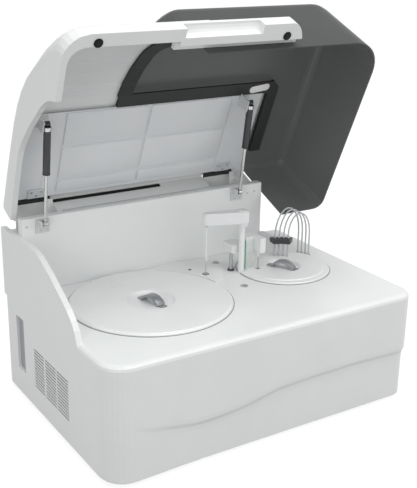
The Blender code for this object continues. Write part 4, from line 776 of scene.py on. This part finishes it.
def cylinder(name: str, sides: int, radius: float, depth: float, place: Point, **more: Any) -> Piece:
    """Start a piece from a cylinder.

    Args:
        name: the piece's name.
        sides: how many faces go round it.
        radius: its radius.
        depth: its length.
        place: its middle.
        **more: other settings of the operator.

    Returns:
        The piece.
    """
    return Piece(name).begin(bpy.ops.mesh.primitive_cylinder_add, vertices=sides,
                             radius=radius, depth=depth, location=place, **more)


def ring_pattern(inner: float, outer: float, height: float, sides: int) -> Piece:
    """Model a flat ring that stands on the origin.

    Args:
        inner: radius of its hole.
        outer: its outer radius.
        height: its height.
        sides: how many faces go round it.

    Returns:
        The ring.
    """
    ring = cylinder("ring_pattern", sides, outer, height, (0.0, 0.0, height / 2),
                    end_fill_type="NOTHING")
    ring.modify("SOLIDIFY", thickness=outer - inner, offset=-1.0)
    return ring.modify("BEVEL", width=min(height, outer - inner) * RING_EDGE, segments=2,
                       limit_method="ANGLE")


def screw_pattern(radius: float, height: float) -> Piece:
    """Model a rounded screw head with a socket, standing on the origin.

    Args:
        radius: radius of the head.
        height: height of the head.

    Returns:
        The screw head.
    """
    top = height * HEAD_TOP
    screw = cylinder("screw_pattern", 24, radius, height, (0.0, 0.0, height / 2))
    screw.bevel(lambda middle, way: middle.z > top and abs(way.z) < ACROSS, height * HEAD_CUT, 3)
    screw.select(Pick.FACE, lambda middle, normal: normal.z > ALONG and middle.z > top
                 and middle.xy.length < radius * HEAD_CENTRE)
    bpy.ops.mesh.inset(thickness=radius * HEAD_WALL)
    move = {"value": (0.0, 0.0, -height * HEAD_CUT)}
    bpy.ops.mesh.extrude_region_move(TRANSFORM_OT_translate=move)
    return screw.close()


def pad(name: str, box: Box, corner: float, edge: float) -> Piece:
    """Model a flat pad with rounded corners and a softened edge.

    Args:
        name: the pad's name.
        box: where it starts and ends along X, Y and Z.
        corner: radius of its corners.
        edge: width of the softened edge on both faces.

    Returns:
        The pad.
    """
    middle = [(low + high) / 2 for low, high in box]
    size = [high - low for low, high in box]
    flat = size.index(min(size))
    piece = Piece(name).begin(bpy.ops.mesh.primitive_cube_add, size=1.0)
    piece.place(Matrix.Translation(middle) @ Matrix.Diagonal((*size, 1.0)))
    piece.bevel(lambda centre, way: abs(way[flat]) > ALONG, corner, 5)
    piece.bevel(lambda centre, way: abs(way[flat]) < ACROSS, edge, 2)
    return piece.close()


# Sub-assemblies

@dataclass
class Cover:
    """Small parts inside the raised cover."""

    bumper_ring: Ring = (0.0071, 0.0104, 0.0016, 28)
    bumpers: Tuple[Point, Point] = ((-0.354, -0.276, 0.2954), (0.120, -0.266, 0.2954))
    seal_box: Box = ((-0.2990, 0.0120), (0.2849, 0.2861), (0.4845, 0.4957))
    seal_soft: Spot = (0.0020, 0.0004)
    panel_xs: Spots = ((-0.2975, -0.0765), (-0.0695, 0.1675))
    panel_ys: Spots = ((0.0195, 0.1115), (0.1185, 0.2115), (0.2185, 0.2500))
    # The middle row stays thinner, because it shuts over the wall's seal
    panel_ts: Tuple[float, ...] = (0.0028, 0.0016, 0.0028)
    panel_soft: Spot = (0.006, 0.0014)
    panel_sink: float = 0.0002
    bead_lines: Spots = ((-0.150, 0.4338), (-0.042, 0.4824))
    bead_xs: Spot = (-0.402, -0.177)
    bead_r: float = 0.0016
    bead_factors: Point = (1.0, 1.4, 0.5)
    bead_edge: float = 0.0004
    window_box: Box = ((-0.0310, 0.0310), (-0.0100, 0.0100), (0.4827, 0.4839))
    window_soft: Spot = (0.0098, 0.0003)
    window_place: Point = (0.2475, 0.0, 0.0)
    window_turn: float = -7.0
    screw: Spot = (0.0030, 0.0013)
    leaf_xs: Spot = (-0.350, 0.200)
    leaf_z: float = 0.4831
    leaf_spots: Spots = ((-0.013, 0.243), (0.013, 0.243), (0.000, 0.2545))
    flange_z: float = 0.4823
    flange_spots: Spots = ((-0.006, 0.038), (0.009, 0.038))

    def build_panels(self) -> None:
        """Raise the pressed panels of the liner between its lines."""
        for column, across in zip(NUMBERED, self.panel_xs):
            for row, deep, thick in zip(NUMBERED, self.panel_ys, self.panel_ts):
                box = (across, deep, (LINER_Z - thick, LINER_Z + self.panel_sink))
                pad("liner_panel" + column + row, box, *self.panel_soft).mount(
                    INNER_ABS, Body.LID, True)

    def build_beads(self) -> None:
        """Lay the raised beads across the sloping left side."""
        left, right = self.bead_xs
        for end, line in zip(NUMBERED, self.bead_lines):
            middle = ((left + right) / 2, *line)
            bead = cylinder("slope_bead" + end, 16, self.bead_r, right - left, middle,
                            rotation=(0.0, math.radians(90), 0.0))
            bead.select(Pick.FACE, lambda centre, normal: True)
            bpy.ops.transform.resize(value=self.bead_factors, center_override=middle)
            bead.bevel(lambda centre, way: abs(way.x) < ACROSS, self.bead_edge, 1)
            bead.close().mount(INNER_ABS, Body.LID, True)

    def build_window(self) -> None:
        """Set the white oval window into the dark rim."""
        turn = Matrix.Rotation(math.radians(self.window_turn), 4, "Z")
        oval = pad("rim_window", self.window_box, *self.window_soft)
        oval.place(Matrix.Translation(self.window_place) @ turn)
        oval.mount(WINDOW_ABS, Body.LID, True)

    def build_screws(self) -> None:
        """Screw the hinge leaves and the strut brackets to the liner."""
        for stem, xs, spots, z in (
                ("leaf_screw", self.leaf_xs, self.leaf_spots, self.leaf_z),
                ("bracket_screw", STRUT_XS, self.flange_spots, self.flange_z)):
            for side, x in zip(SIDED, xs):
                places = [(x + across, y, z) for across, y in spots]
                screw_pattern(*self.screw).spread(
                    fitted(stem + side, NUMBERED, Aim.DOWN, places), STEEL, Body.LID, True)

    def build(self) -> None:
        """Build every small part of the cover."""
        ring_pattern(*self.bumper_ring).spread(
            fitted("bumper_collar", SIDED, Aim.DOWN, self.bumpers), BLACK_RUBBER, Body.LID, True)
        pad("cover_seal", self.seal_box, *self.seal_soft).mount(BLACK_RUBBER, Body.LID, True)
        self.build_panels()
        self.build_beads()
        self.build_window()
        self.build_screws()


@dataclass
class Struts:
    """Collars, end caps and rod nuts of the two gas struts."""

    rods: Tuple[Body, Body] = (Body.ROD_LEFT, Body.ROD_RIGHT)
    tubes: Tuple[Body, Body] = (Body.TUBE_LEFT, Body.TUBE_RIGHT)
    # Name, sizes, distance along the strut, finish and bodies
    rings: Tuple[Tuple[str, Ring, float, Finish, Tuple[Body, Body]], ...] = (
        ("tube_collar", (0.0044, 0.0094, 0.0050, 32), 0.1277, BLACK_ABS, tubes),
        ("tube_cap", (0.0086, 0.0095, 0.0090, 32), 0.2374, STEEL, tubes),
        ("rod_nut", (0.0038, 0.0058, 0.0050, 12), 0.0080, STEEL, rods))

    def build(self) -> None:
        """Build the rings of both struts."""
        for index, (side, x) in enumerate(zip(SIDED, STRUT_XS)):
            for stem, sizes, along, finish, bodies in self.rings:
                place = Vector((x, *STRUT_FOOT)) + Vector(Aim.STRUT.value) * along
                ring_pattern(*sizes).spread({stem + side: facing(Aim.STRUT, place)}, finish,
                                            bodies[index])


@dataclass
class Wall:
    """Fasteners on the front of the hinge wall."""

    screw: Spot = (0.0030, 0.0014)
    mount_y: float = 0.1838
    mount_spots: Spots = ((-0.007, 0.4485), (0.011, 0.4485), (0.011, 0.4705))
    wall_y: float = 0.1871
    wall_spots: Spots = ((-0.404, 0.461), (0.241, 0.455), (0.264, 0.458))

    def build(self) -> None:
        """Build the screws of the strut mounts and of the wall."""
        placings: Dict[str, Matrix] = {}
        for side, x in zip(SIDED, STRUT_XS):
            places = [(x + across, self.mount_y, z) for across, z in self.mount_spots]
            placings.update(fitted("mount_screw" + side, NUMBERED, Aim.FRONT, places))
        places = [(x, self.wall_y, z) for x, z in self.wall_spots]
        placings.update(fitted("wall_screw", NUMBERED, Aim.FRONT, places))
        screw_pattern(*self.screw).spread(placings, STEEL, Body.BASE)


@dataclass
class Deck:
    """Rings, grommets and handles on the deck and the carousel covers."""

    # Name, what is added to it, sizes, spots, height and finish
    rings: Tuple[Tuple[str, Sequence[str], Ring, Spots, float, Finish], ...] = (
        ("cup_ring", NUMBERED, (0.0066, 0.0098, 0.0014, 32),
         ((0.0785, -0.0439), (0.1075, 0.1343), (0.1240, 0.0840)), DECK_Z, STEEL),
        ("plate_ring", ALONE, (0.0066, 0.0088, 0.0007, 32), (PROBE_TIP,), PLATE_TOP_Z, DARK_ABS),
        ("shaft_seal", NUMBERED, (0.0063, 0.0098, 0.0026, 32),
         ((0.112, 0.068), (0.268, 0.148)), DECK_Z, DARK_ABS),
        # Thin grey rings of painted shade in the gaps round the two carousel covers
        ("reagent_gasket", ALONE, (0.2004, 0.2022, 0.0011, 96), ((-0.176, -0.016),), DECK_Z,
         GAP_SHADE_GREY),
        ("reaction_gasket", ALONE, (0.1244, 0.1262, 0.0011, 96), (REACTION_CENTRE,), DECK_Z,
         GAP_SHADE_GREY))
    grommet: Ring = (0.0031, 0.0047, 0.0018, 20)
    tail_r: float = 0.1315
    tail_angles: Tuple[float, ...] = (34.9, 30.1, 25.4, 20.7)
    plug: Spot = (0.0042, 0.0010)
    plug_place: Point = (0.0130, 0.1140, 0.2962)
    handles: Tuple[Tuple[str, Spot, float], ...] = (
        ("reagent", (-0.176, -0.022), -76.0), ("reaction", (0.242, 0.011), -60.0))
    dish_z: float = 0.2934
    strap_half: float = 0.0350
    strap_rise: float = 0.0202
    strap_w: float = 0.0240
    strap_t: float = 0.0062
    strap_edge: float = 0.0009
    strap_low: float = 0.0018
    foot_x: float = 0.0385
    foot_half: Spot = (0.0065, 0.0090)
    foot_z: Spot = (0.0001, 0.0022)
    foot_soft: Spot = (0.003, 0.0005)
    screw: Spot = (0.0024, 0.0011)
    screw_x: float = 0.0405
    screw_z: float = 0.0021

    def build_rings(self) -> None:
        """Line the holes in the deck with metal and rubber rings, and lay thin grey rings of painted
        shade in the gaps round the two carousel covers.
        """
        for stem, ends, sizes, spots, z, finish in self.rings:
            places = [(*spot, z) for spot in spots]
            ring_pattern(*sizes).spread(fitted(stem, ends, Aim.UP, places), finish, Body.BASE)
        places = [round_about(REACTION_CENTRE, self.tail_r, angle, DECK_Z)
                  for angle in self.tail_angles]
        ring_pattern(*self.grommet).spread(
            fitted("tube_grommet", NUMBERED, Aim.UP, places), DARK_ABS, Body.BASE)

    def build_handle(self, prefix: str, centre: Spot, angle: float) -> None:
        """Bend one strap handle and stand it on two screwed feet.

        Args:
            prefix: name of the carousel that it lifts the cover of.
            centre: its place on the deck.
            angle: its direction in plan, in degrees from +X.
        """
        placing = (Matrix.Translation((*centre, self.dish_z))
                   @ Matrix.Rotation(math.radians(angle), 4, "Z"))
        radius = (self.strap_half ** 2 + self.strap_rise ** 2) / (2 * self.strap_rise)
        strap = cylinder(prefix + "_strap", 72, radius, self.strap_w,
                         (0.0, 0.0, self.strap_rise - radius), end_fill_type="NOTHING",
                         rotation=(math.radians(90), 0.0, 0.0))
        strap.select(Pick.FACE, lambda middle, normal: middle.z < self.strap_low)
        bpy.ops.mesh.delete(type="FACE")
        bpy.ops.object.mode_set(mode="OBJECT")
        strap.modify("SOLIDIFY", thickness=self.strap_t, offset=-1.0)
        strap.modify("BEVEL", width=self.strap_edge, segments=2, limit_method="ANGLE")
        strap.place(placing)
        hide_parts(prefix + "_handle")
        strap.mount(HANDLE_ENAMEL, Body.BASE)
        half, deep = self.foot_half
        for end, side in zip(NUMBERED, (-1, 1)):
            middle = side * self.foot_x
            foot = pad(prefix + "_foot" + end,
                       ((middle - half, middle + half), (-deep, deep), self.foot_z),
                       *self.foot_soft)
            foot.place(placing).mount(HANDLE_ENAMEL, Body.BASE)
            spot = placing @ Matrix.Translation((side * self.screw_x, 0.0, self.screw_z))
            screw_pattern(*self.screw).spread({prefix + "_foot_screw" + end: spot}, STEEL, Body.BASE)

    def build(self) -> None:
        """Build every small part on the deck."""
        self.build_rings()
        screw_pattern(*self.plug).spread(
            fitted("plate_plug", ALONE, Aim.UP, [self.plug_place]), DARK_ABS, Body.BASE)
        for handle in self.handles:
            self.build_handle(*handle)


@dataclass
class Sampler:
    """Sleeves of the sampling column and its probe."""

    collar: Ring = (0.0082, 0.0140, 0.0098, 40)
    collar_z: float = 0.4207
    cap_r: float = 0.0125
    cap_z: Spot = (0.4619, 0.4645)
    cap_round: float = 0.0010
    holder_r: float = 0.0030
    holder_z: Spot = (0.3408, 0.4308)
    holder_cone: float = 0.010
    holder_taper: Point = (0.52, 0.52, 1.0)
    holder_edge: float = 0.0003
    nut: Ring = (0.0029, 0.0050, 0.0060, 6)
    nut_z: float = 0.4246
    near: float = 0.0003

    def build(self) -> None:
        """Build the column's collar, the probe holder and the hub cap."""
        ring_pattern(*self.collar).spread(
            fitted("column_collar", ALONE, Aim.UP, [(*COLUMN, self.collar_z)]), ARM_ABS,
            Body.LIFTER)
        low, top = self.cap_z
        cap = cylinder("hub_cap", 40, self.cap_r, top - low, (*COLUMN, (low + top) / 2))
        cap.bevel(lambda middle, way: middle.z > top - self.near and abs(way.z) < ACROSS,
                  self.cap_round, 3)
        cap.close().mount(ARM_ABS, Body.SAMPLER)
        low, top = self.holder_z
        tip = low - self.holder_cone
        holder = cylinder("probe_holder", 28, self.holder_r, top - low, (*PROBE_TIP, (low + top) / 2))
        holder.select(Pick.FACE, lambda middle, normal: normal.z < -ALONG)
        move = {"value": (0.0, 0.0, -self.holder_cone)}
        bpy.ops.mesh.extrude_region_move(TRANSFORM_OT_translate=move)
        bpy.ops.transform.resize(value=self.holder_taper, center_override=(*PROBE_TIP, tip))
        holder.bevel(lambda middle, way: middle.z < tip + self.near and abs(way.z) < ACROSS,
                     self.holder_edge, 1)
        holder.close().mount(ARM_ABS, Body.SAMPLER)
        ring_pattern(*self.nut).spread(
            fitted("probe_nut", ALONE, Aim.UP, [(*PROBE_TIP, self.nut_z)]), STEEL, Body.SAMPLER)


@dataclass
class Mixer:
    """Sleeves and paddles of the stirrers, and the cut edge of the clear guard."""

    stirrers: Tuple[Spot, Spot] = ((0.124, 0.084), (0.170, 0.027))
    sleeve_top: float = 0.3447
    sleeve_bore: float = 0.0019
    sleeve_r: Spot = (0.0034, 0.0026)
    sleeve_drop: Spot = (0.038, 0.012)
    paddle_half: Spot = (0.0026, 0.0006)
    paddle_z: Spot = (0.2942, 0.3032)
    paddle_soft: Spot = (0.0010, 0.0002)
    guard_box: Box = ((0.1352, 0.1376), (0.0379, 0.0391), (0.2997, 0.3790))
    guard_soft: Spot = (0.0003, 0.0001)

    def build(self) -> None:
        """Build the stirrers' sleeves and paddles, and the guard's edge."""
        for side, spot, radius, drop in zip(SIDED, self.stirrers, self.sleeve_r, self.sleeve_drop):
            place = facing(Aim.UP, (*spot, self.sleeve_top - drop))
            ring_pattern(self.sleeve_bore, radius, drop, 24).spread(
                {"stirrer_sleeve" + side: place}, ARM_ABS, Body.MIXER)
            across, deep = ((at - half, at + half) for at, half in zip(spot, self.paddle_half))
            pad("stirrer_paddle" + side, (across, deep, self.paddle_z),
                *self.paddle_soft).mount(STEEL, Body.MIXER)
        pad("guard_edge", self.guard_box, *self.guard_soft).mount(GUARD_EDGE, Body.BASE)


@dataclass
class Wash:
    """Ferrules where the four tubes pass the bar."""

    ferrule: Ring = (0.0023, 0.0040, 0.0050, 20)
    radius: float = 0.0735
    angles: Tuple[float, ...] = (72.0, 62.6, 53.2, 43.8)
    bar_z: Spot = (0.338, 0.350)

    def build(self) -> None:
        """Build a ferrule above and below the bar on each tube."""
        under, top = self.bar_z
        placings: Dict[str, Matrix] = {}
        for end, angle in zip(NUMBERED, self.angles):
            for stem, aim, z in (("ferrule_top", Aim.UP, top), ("ferrule_under", Aim.DOWN, under)):
                place = round_about(REACTION_CENTRE, self.radius, angle, z)
                placings[stem + end] = facing(aim, place)
        ring_pattern(*self.ferrule).spread(placings, STEEL, Body.WASH)


@dataclass
class Casing:
    """The pocket's floor, the dust filter behind the vents, dark strips of painted shade in the vent
    slits, and the rear screws.
    """

    plates: Tuple[Tuple[str, Box, float], ...] = (
        ("pocket_floor", ((-0.4236, -0.4226), (0.1760, 0.2210), (0.0810, 0.2250)), 0.0003),
        ("vent_filter", ((-0.4196, -0.4166), (-0.094, 0.121), (0.064, 0.192)), 0.0006))
    plate_corner: float = 0.004
    # Strips of painted shade in the vent slits: where they stand, their pitch and count
    shade_strip_x: Spot = (-0.4288, -0.4262)
    shade_strip_ys: Spots = ((-0.0858, -0.0222), (-0.0168, 0.0448), (0.0532, 0.1128))
    shade_strip_z: Spot = (0.0742, 0.0780)
    shade_strip_soft: Spot = (0.0006, 0.0002)
    vent_pitch: float = 0.0082
    vent_count: int = 13
    cheek_xs: Spots = ((-0.3180, -0.2840), (0.2320, 0.2870))
    cheek_y: Spot = (0.2625, 0.2665)
    cheek_z: Spot = (0.4302, 0.4830)
    tab_w: float = 0.0156
    tab_z: Spot = (0.4832, 0.4990)
    cheek_soft: Spot = (0.0010, 0.0005)
    screw: Spot = (0.0034, 0.0010)
    screw_y: float = 0.2959
    screw_spots: Spots = (
        (-0.337, 0.043), (-0.337, 0.1475), (-0.337, 0.252), (0.337, 0.043), (0.337, 0.1475),
        (0.337, 0.252), (0.0, 0.043), (0.0, 0.252), (-0.2457, 0.1143), (-0.1743, 0.1143),
        (-0.2457, 0.1857), (-0.1743, 0.1857))

    def build_vent_shade_strips(self) -> None:
        """Stand a row of dark grey strips inside each group of vents: painted shade of the vent slits.
        """
        for end, deep in zip(NUMBERED, self.shade_strip_ys):
            strip = pad("vent_mesh" + end, (self.shade_strip_x, deep, self.shade_strip_z), *self.shade_strip_soft)
            strip.modify("ARRAY", count=self.vent_count, use_relative_offset=False,
                         use_constant_offset=True,
                         constant_offset_displace=(0.0, 0.0, self.vent_pitch))
            strip.mount(VENT_SHADE_ABS, Body.BASE)

    def build_cheeks(self) -> None:
        """Close the view past the hinge notches with small upright plates."""
        for side, across in zip(SIDED, self.cheek_xs):
            narrow = (across[0], across[0] + self.tab_w)
            for stem, width, tall in (("hinge_cheek", across, self.cheek_z),
                                      ("hinge_tab", narrow, self.tab_z)):
                pad(stem + side, (width, self.cheek_y, tall), *self.cheek_soft).mount(
                    WHITE_ABS, Body.BASE)

    def build(self) -> None:
        """Build the side and rear details of the casing."""
        for name, box, edge in self.plates:
            pad(name, box, self.plate_corner, edge).mount(POCKET_ABS, Body.BASE)
        self.build_vent_shade_strips()
        self.build_cheeks()
        places = [(x, self.screw_y, z) for x, z in self.screw_spots]
        screw_pattern(*self.screw).spread(
            fitted("panel_screw", NUMBERED, Aim.REAR, places), STEEL, Body.BASE)


@dataclass
class Studio:
    """Pale floor, white surroundings and three soft lamps."""

    floor_size: float = 16.0
    floor_z: float = -0.0002
    floor_colour: str = "#959595"
    white: str = "#ffffff"
    glow: float = 0.82
    sky: float = 0.60
    lamps: Tuple[Tuple[str, Point, Point, float, float], ...] = (
        ("lamp_over", (0.45, -0.85, 3.7), (0.05, 0.0, 0.3), 3.0, 73.0),
        ("lamp_front_right", (2.2, -2.3, 1.1), (0.0, 0.0, 0.2), 1.8, 12.5),
        ("lamp_left", (-2.4, -1.6, 1.2), (0.0, 0.0, 0.45), 1.8, 15.5),
    )

    def rays(self, tree: Tree, *kinds: str) -> Socket:
        """Tell some kinds of rays from all others.

        Args:
            tree: the node tree.
            *kinds: the kinds.

        Returns:
            One for those rays and zero for the others.
        """
        path = add_node(tree, "LightPath", {}).outputs
        found = path["Is %s Ray" % kinds[0]]
        for kind in kinds[1:]:
            found = add_node(tree, "Math", {0: found, 1: path["Is %s Ray" % kind]},
                             operation="MAXIMUM").outputs["Value"]
        return found

    def build_floor(self) -> None:
        """Lay the floor: matt, and lifted towards white for the camera."""
        floor = Piece("studio_floor").begin(bpy.ops.mesh.primitive_plane_add,
                                            size=self.floor_size,
                                            location=(0.0, 0.0, self.floor_z)).obj
        made = bpy.data.materials.new("matt_floor")
        made.use_nodes = True
        tree = made.node_tree
        tree.nodes.remove(tree.nodes["Principled BSDF"])
        matt = add_node(tree, "BsdfDiffuse", {"Color": linear(self.floor_colour)}).outputs["BSDF"]
        glow = add_node(tree, "Emission", {"Color": linear(self.white), "Strength": self.glow})
        both = add_node(tree, "AddShader", {0: matt, 1: glow.outputs["Emission"]})
        pick = add_node(tree, "MixShader", {0: self.rays(tree, "Camera", "Glossy", "Transmission"),
                                            1: matt, 2: both.outputs["Shader"]})
        feed(tree, tree.nodes["Material Output"], {"Surface": pick.outputs["Shader"]})
        floor.data.materials.append(made)

    def build_world(self) -> None:
        """Surround the scene with white that lights it softly."""
        world = bpy.data.worlds.new("white_room")
        bpy.context.scene.world = world
        world.use_nodes = True
        tree = world.node_tree
        tree.nodes.clear()
        light, shown = (add_node(tree, "Background",
                                 {"Color": linear(self.white), "Strength": strength})
                        for strength in (self.sky, 1.0))
        pick = add_node(tree, "MixShader", {0: self.rays(tree, "Camera", "Transmission"),
                                            1: light.outputs["Background"],
                                            2: shown.outputs["Background"]})
        add_node(tree, "OutputWorld", {"Surface": pick.outputs["Shader"]})

    def build_lamps(self) -> None:
        """Hang the soft lamps."""
        for name, place, target, size, power in self.lamps:
            data = bpy.data.lights.new(name, "AREA")
            data.shape = "SQUARE"
            data.size = size
            data.energy = power
            lamp = bpy.data.objects.new(name, data)
            bpy.context.scene.collection.objects.link(lamp)
            lamp.location = place
            way = Vector(target) - Vector(place)
            lamp.rotation_euler = way.to_track_quat("-Z", "Y").to_euler()

    def build(self) -> None:
        """Build the studio and set how its picture is shown."""
        self.build_floor()
        self.build_world()
        self.build_lamps()
        bpy.context.scene.view_settings.view_transform = "Standard"


@dataclass
class Camera:
    """The camera at the photograph's viewing angle."""

    place: Point = (-1.1748, -1.8249, 1.1641)
    azimuth: float = 32.70
    elevation: float = 19.28
    roll: float = 0.97
    lens: float = 68.16
    sensor: float = 36.0
    reach: float = 60.0

    def build(self) -> None:
        """Set the camera up from its angles."""
        side, up, lean = (math.radians(v) for v in (self.azimuth, self.elevation, self.roll))
        ahead = Vector((math.sin(side) * math.cos(up), math.cos(side) * math.cos(up), -math.sin(up)))
        right = ahead.cross(Vector(Aim.UP.value)).normalized()
        above = right.cross(ahead)
        across = math.cos(lean) * right + math.sin(lean) * above
        upward = -math.sin(lean) * right + math.cos(lean) * above
        data = bpy.data.cameras.new("photo_camera")
        data.lens = self.lens
        data.sensor_width = self.sensor
        data.sensor_fit = "AUTO"
        data.clip_end = self.reach
        camera = bpy.data.objects.new("photo_camera", data)
        bpy.context.scene.collection.objects.link(camera)
        turn = Matrix((across, upward, -ahead)).transposed()
        camera.matrix_world = Matrix.Translation(Vector(self.place)) @ turn.to_4x4()
        bpy.context.scene.camera = camera


@dataclass
class Analyzer:
    """The whole machine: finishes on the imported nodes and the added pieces."""

    groups: Tuple[Any, ...] = (Casing, Wall, Deck, Cover, Struts, Sampler, Mixer, Wash)

    def dress(self) -> None:
        """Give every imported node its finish."""
        for name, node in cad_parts.items():
            finish = NODE_FINISHES[name]
            node.data.materials.clear()
            node.data.materials.append(finish.material())
            LOG.info("%s in %s", name, finish.title)

    def build(self) -> None:
        """Dress the nodes and build the groups in order."""
        self.dress()
        for group in self.groups:
            group().build()
            LOG.info("%s built", group.__name__)


def main() -> None:
    """Build the scene in order."""
    logging.basicConfig(level=logging.INFO, format="%(name)s: %(message)s")
    Camera().build()
    Studio().build()
    Analyzer().build()


if __name__ == "__main__":
    main()
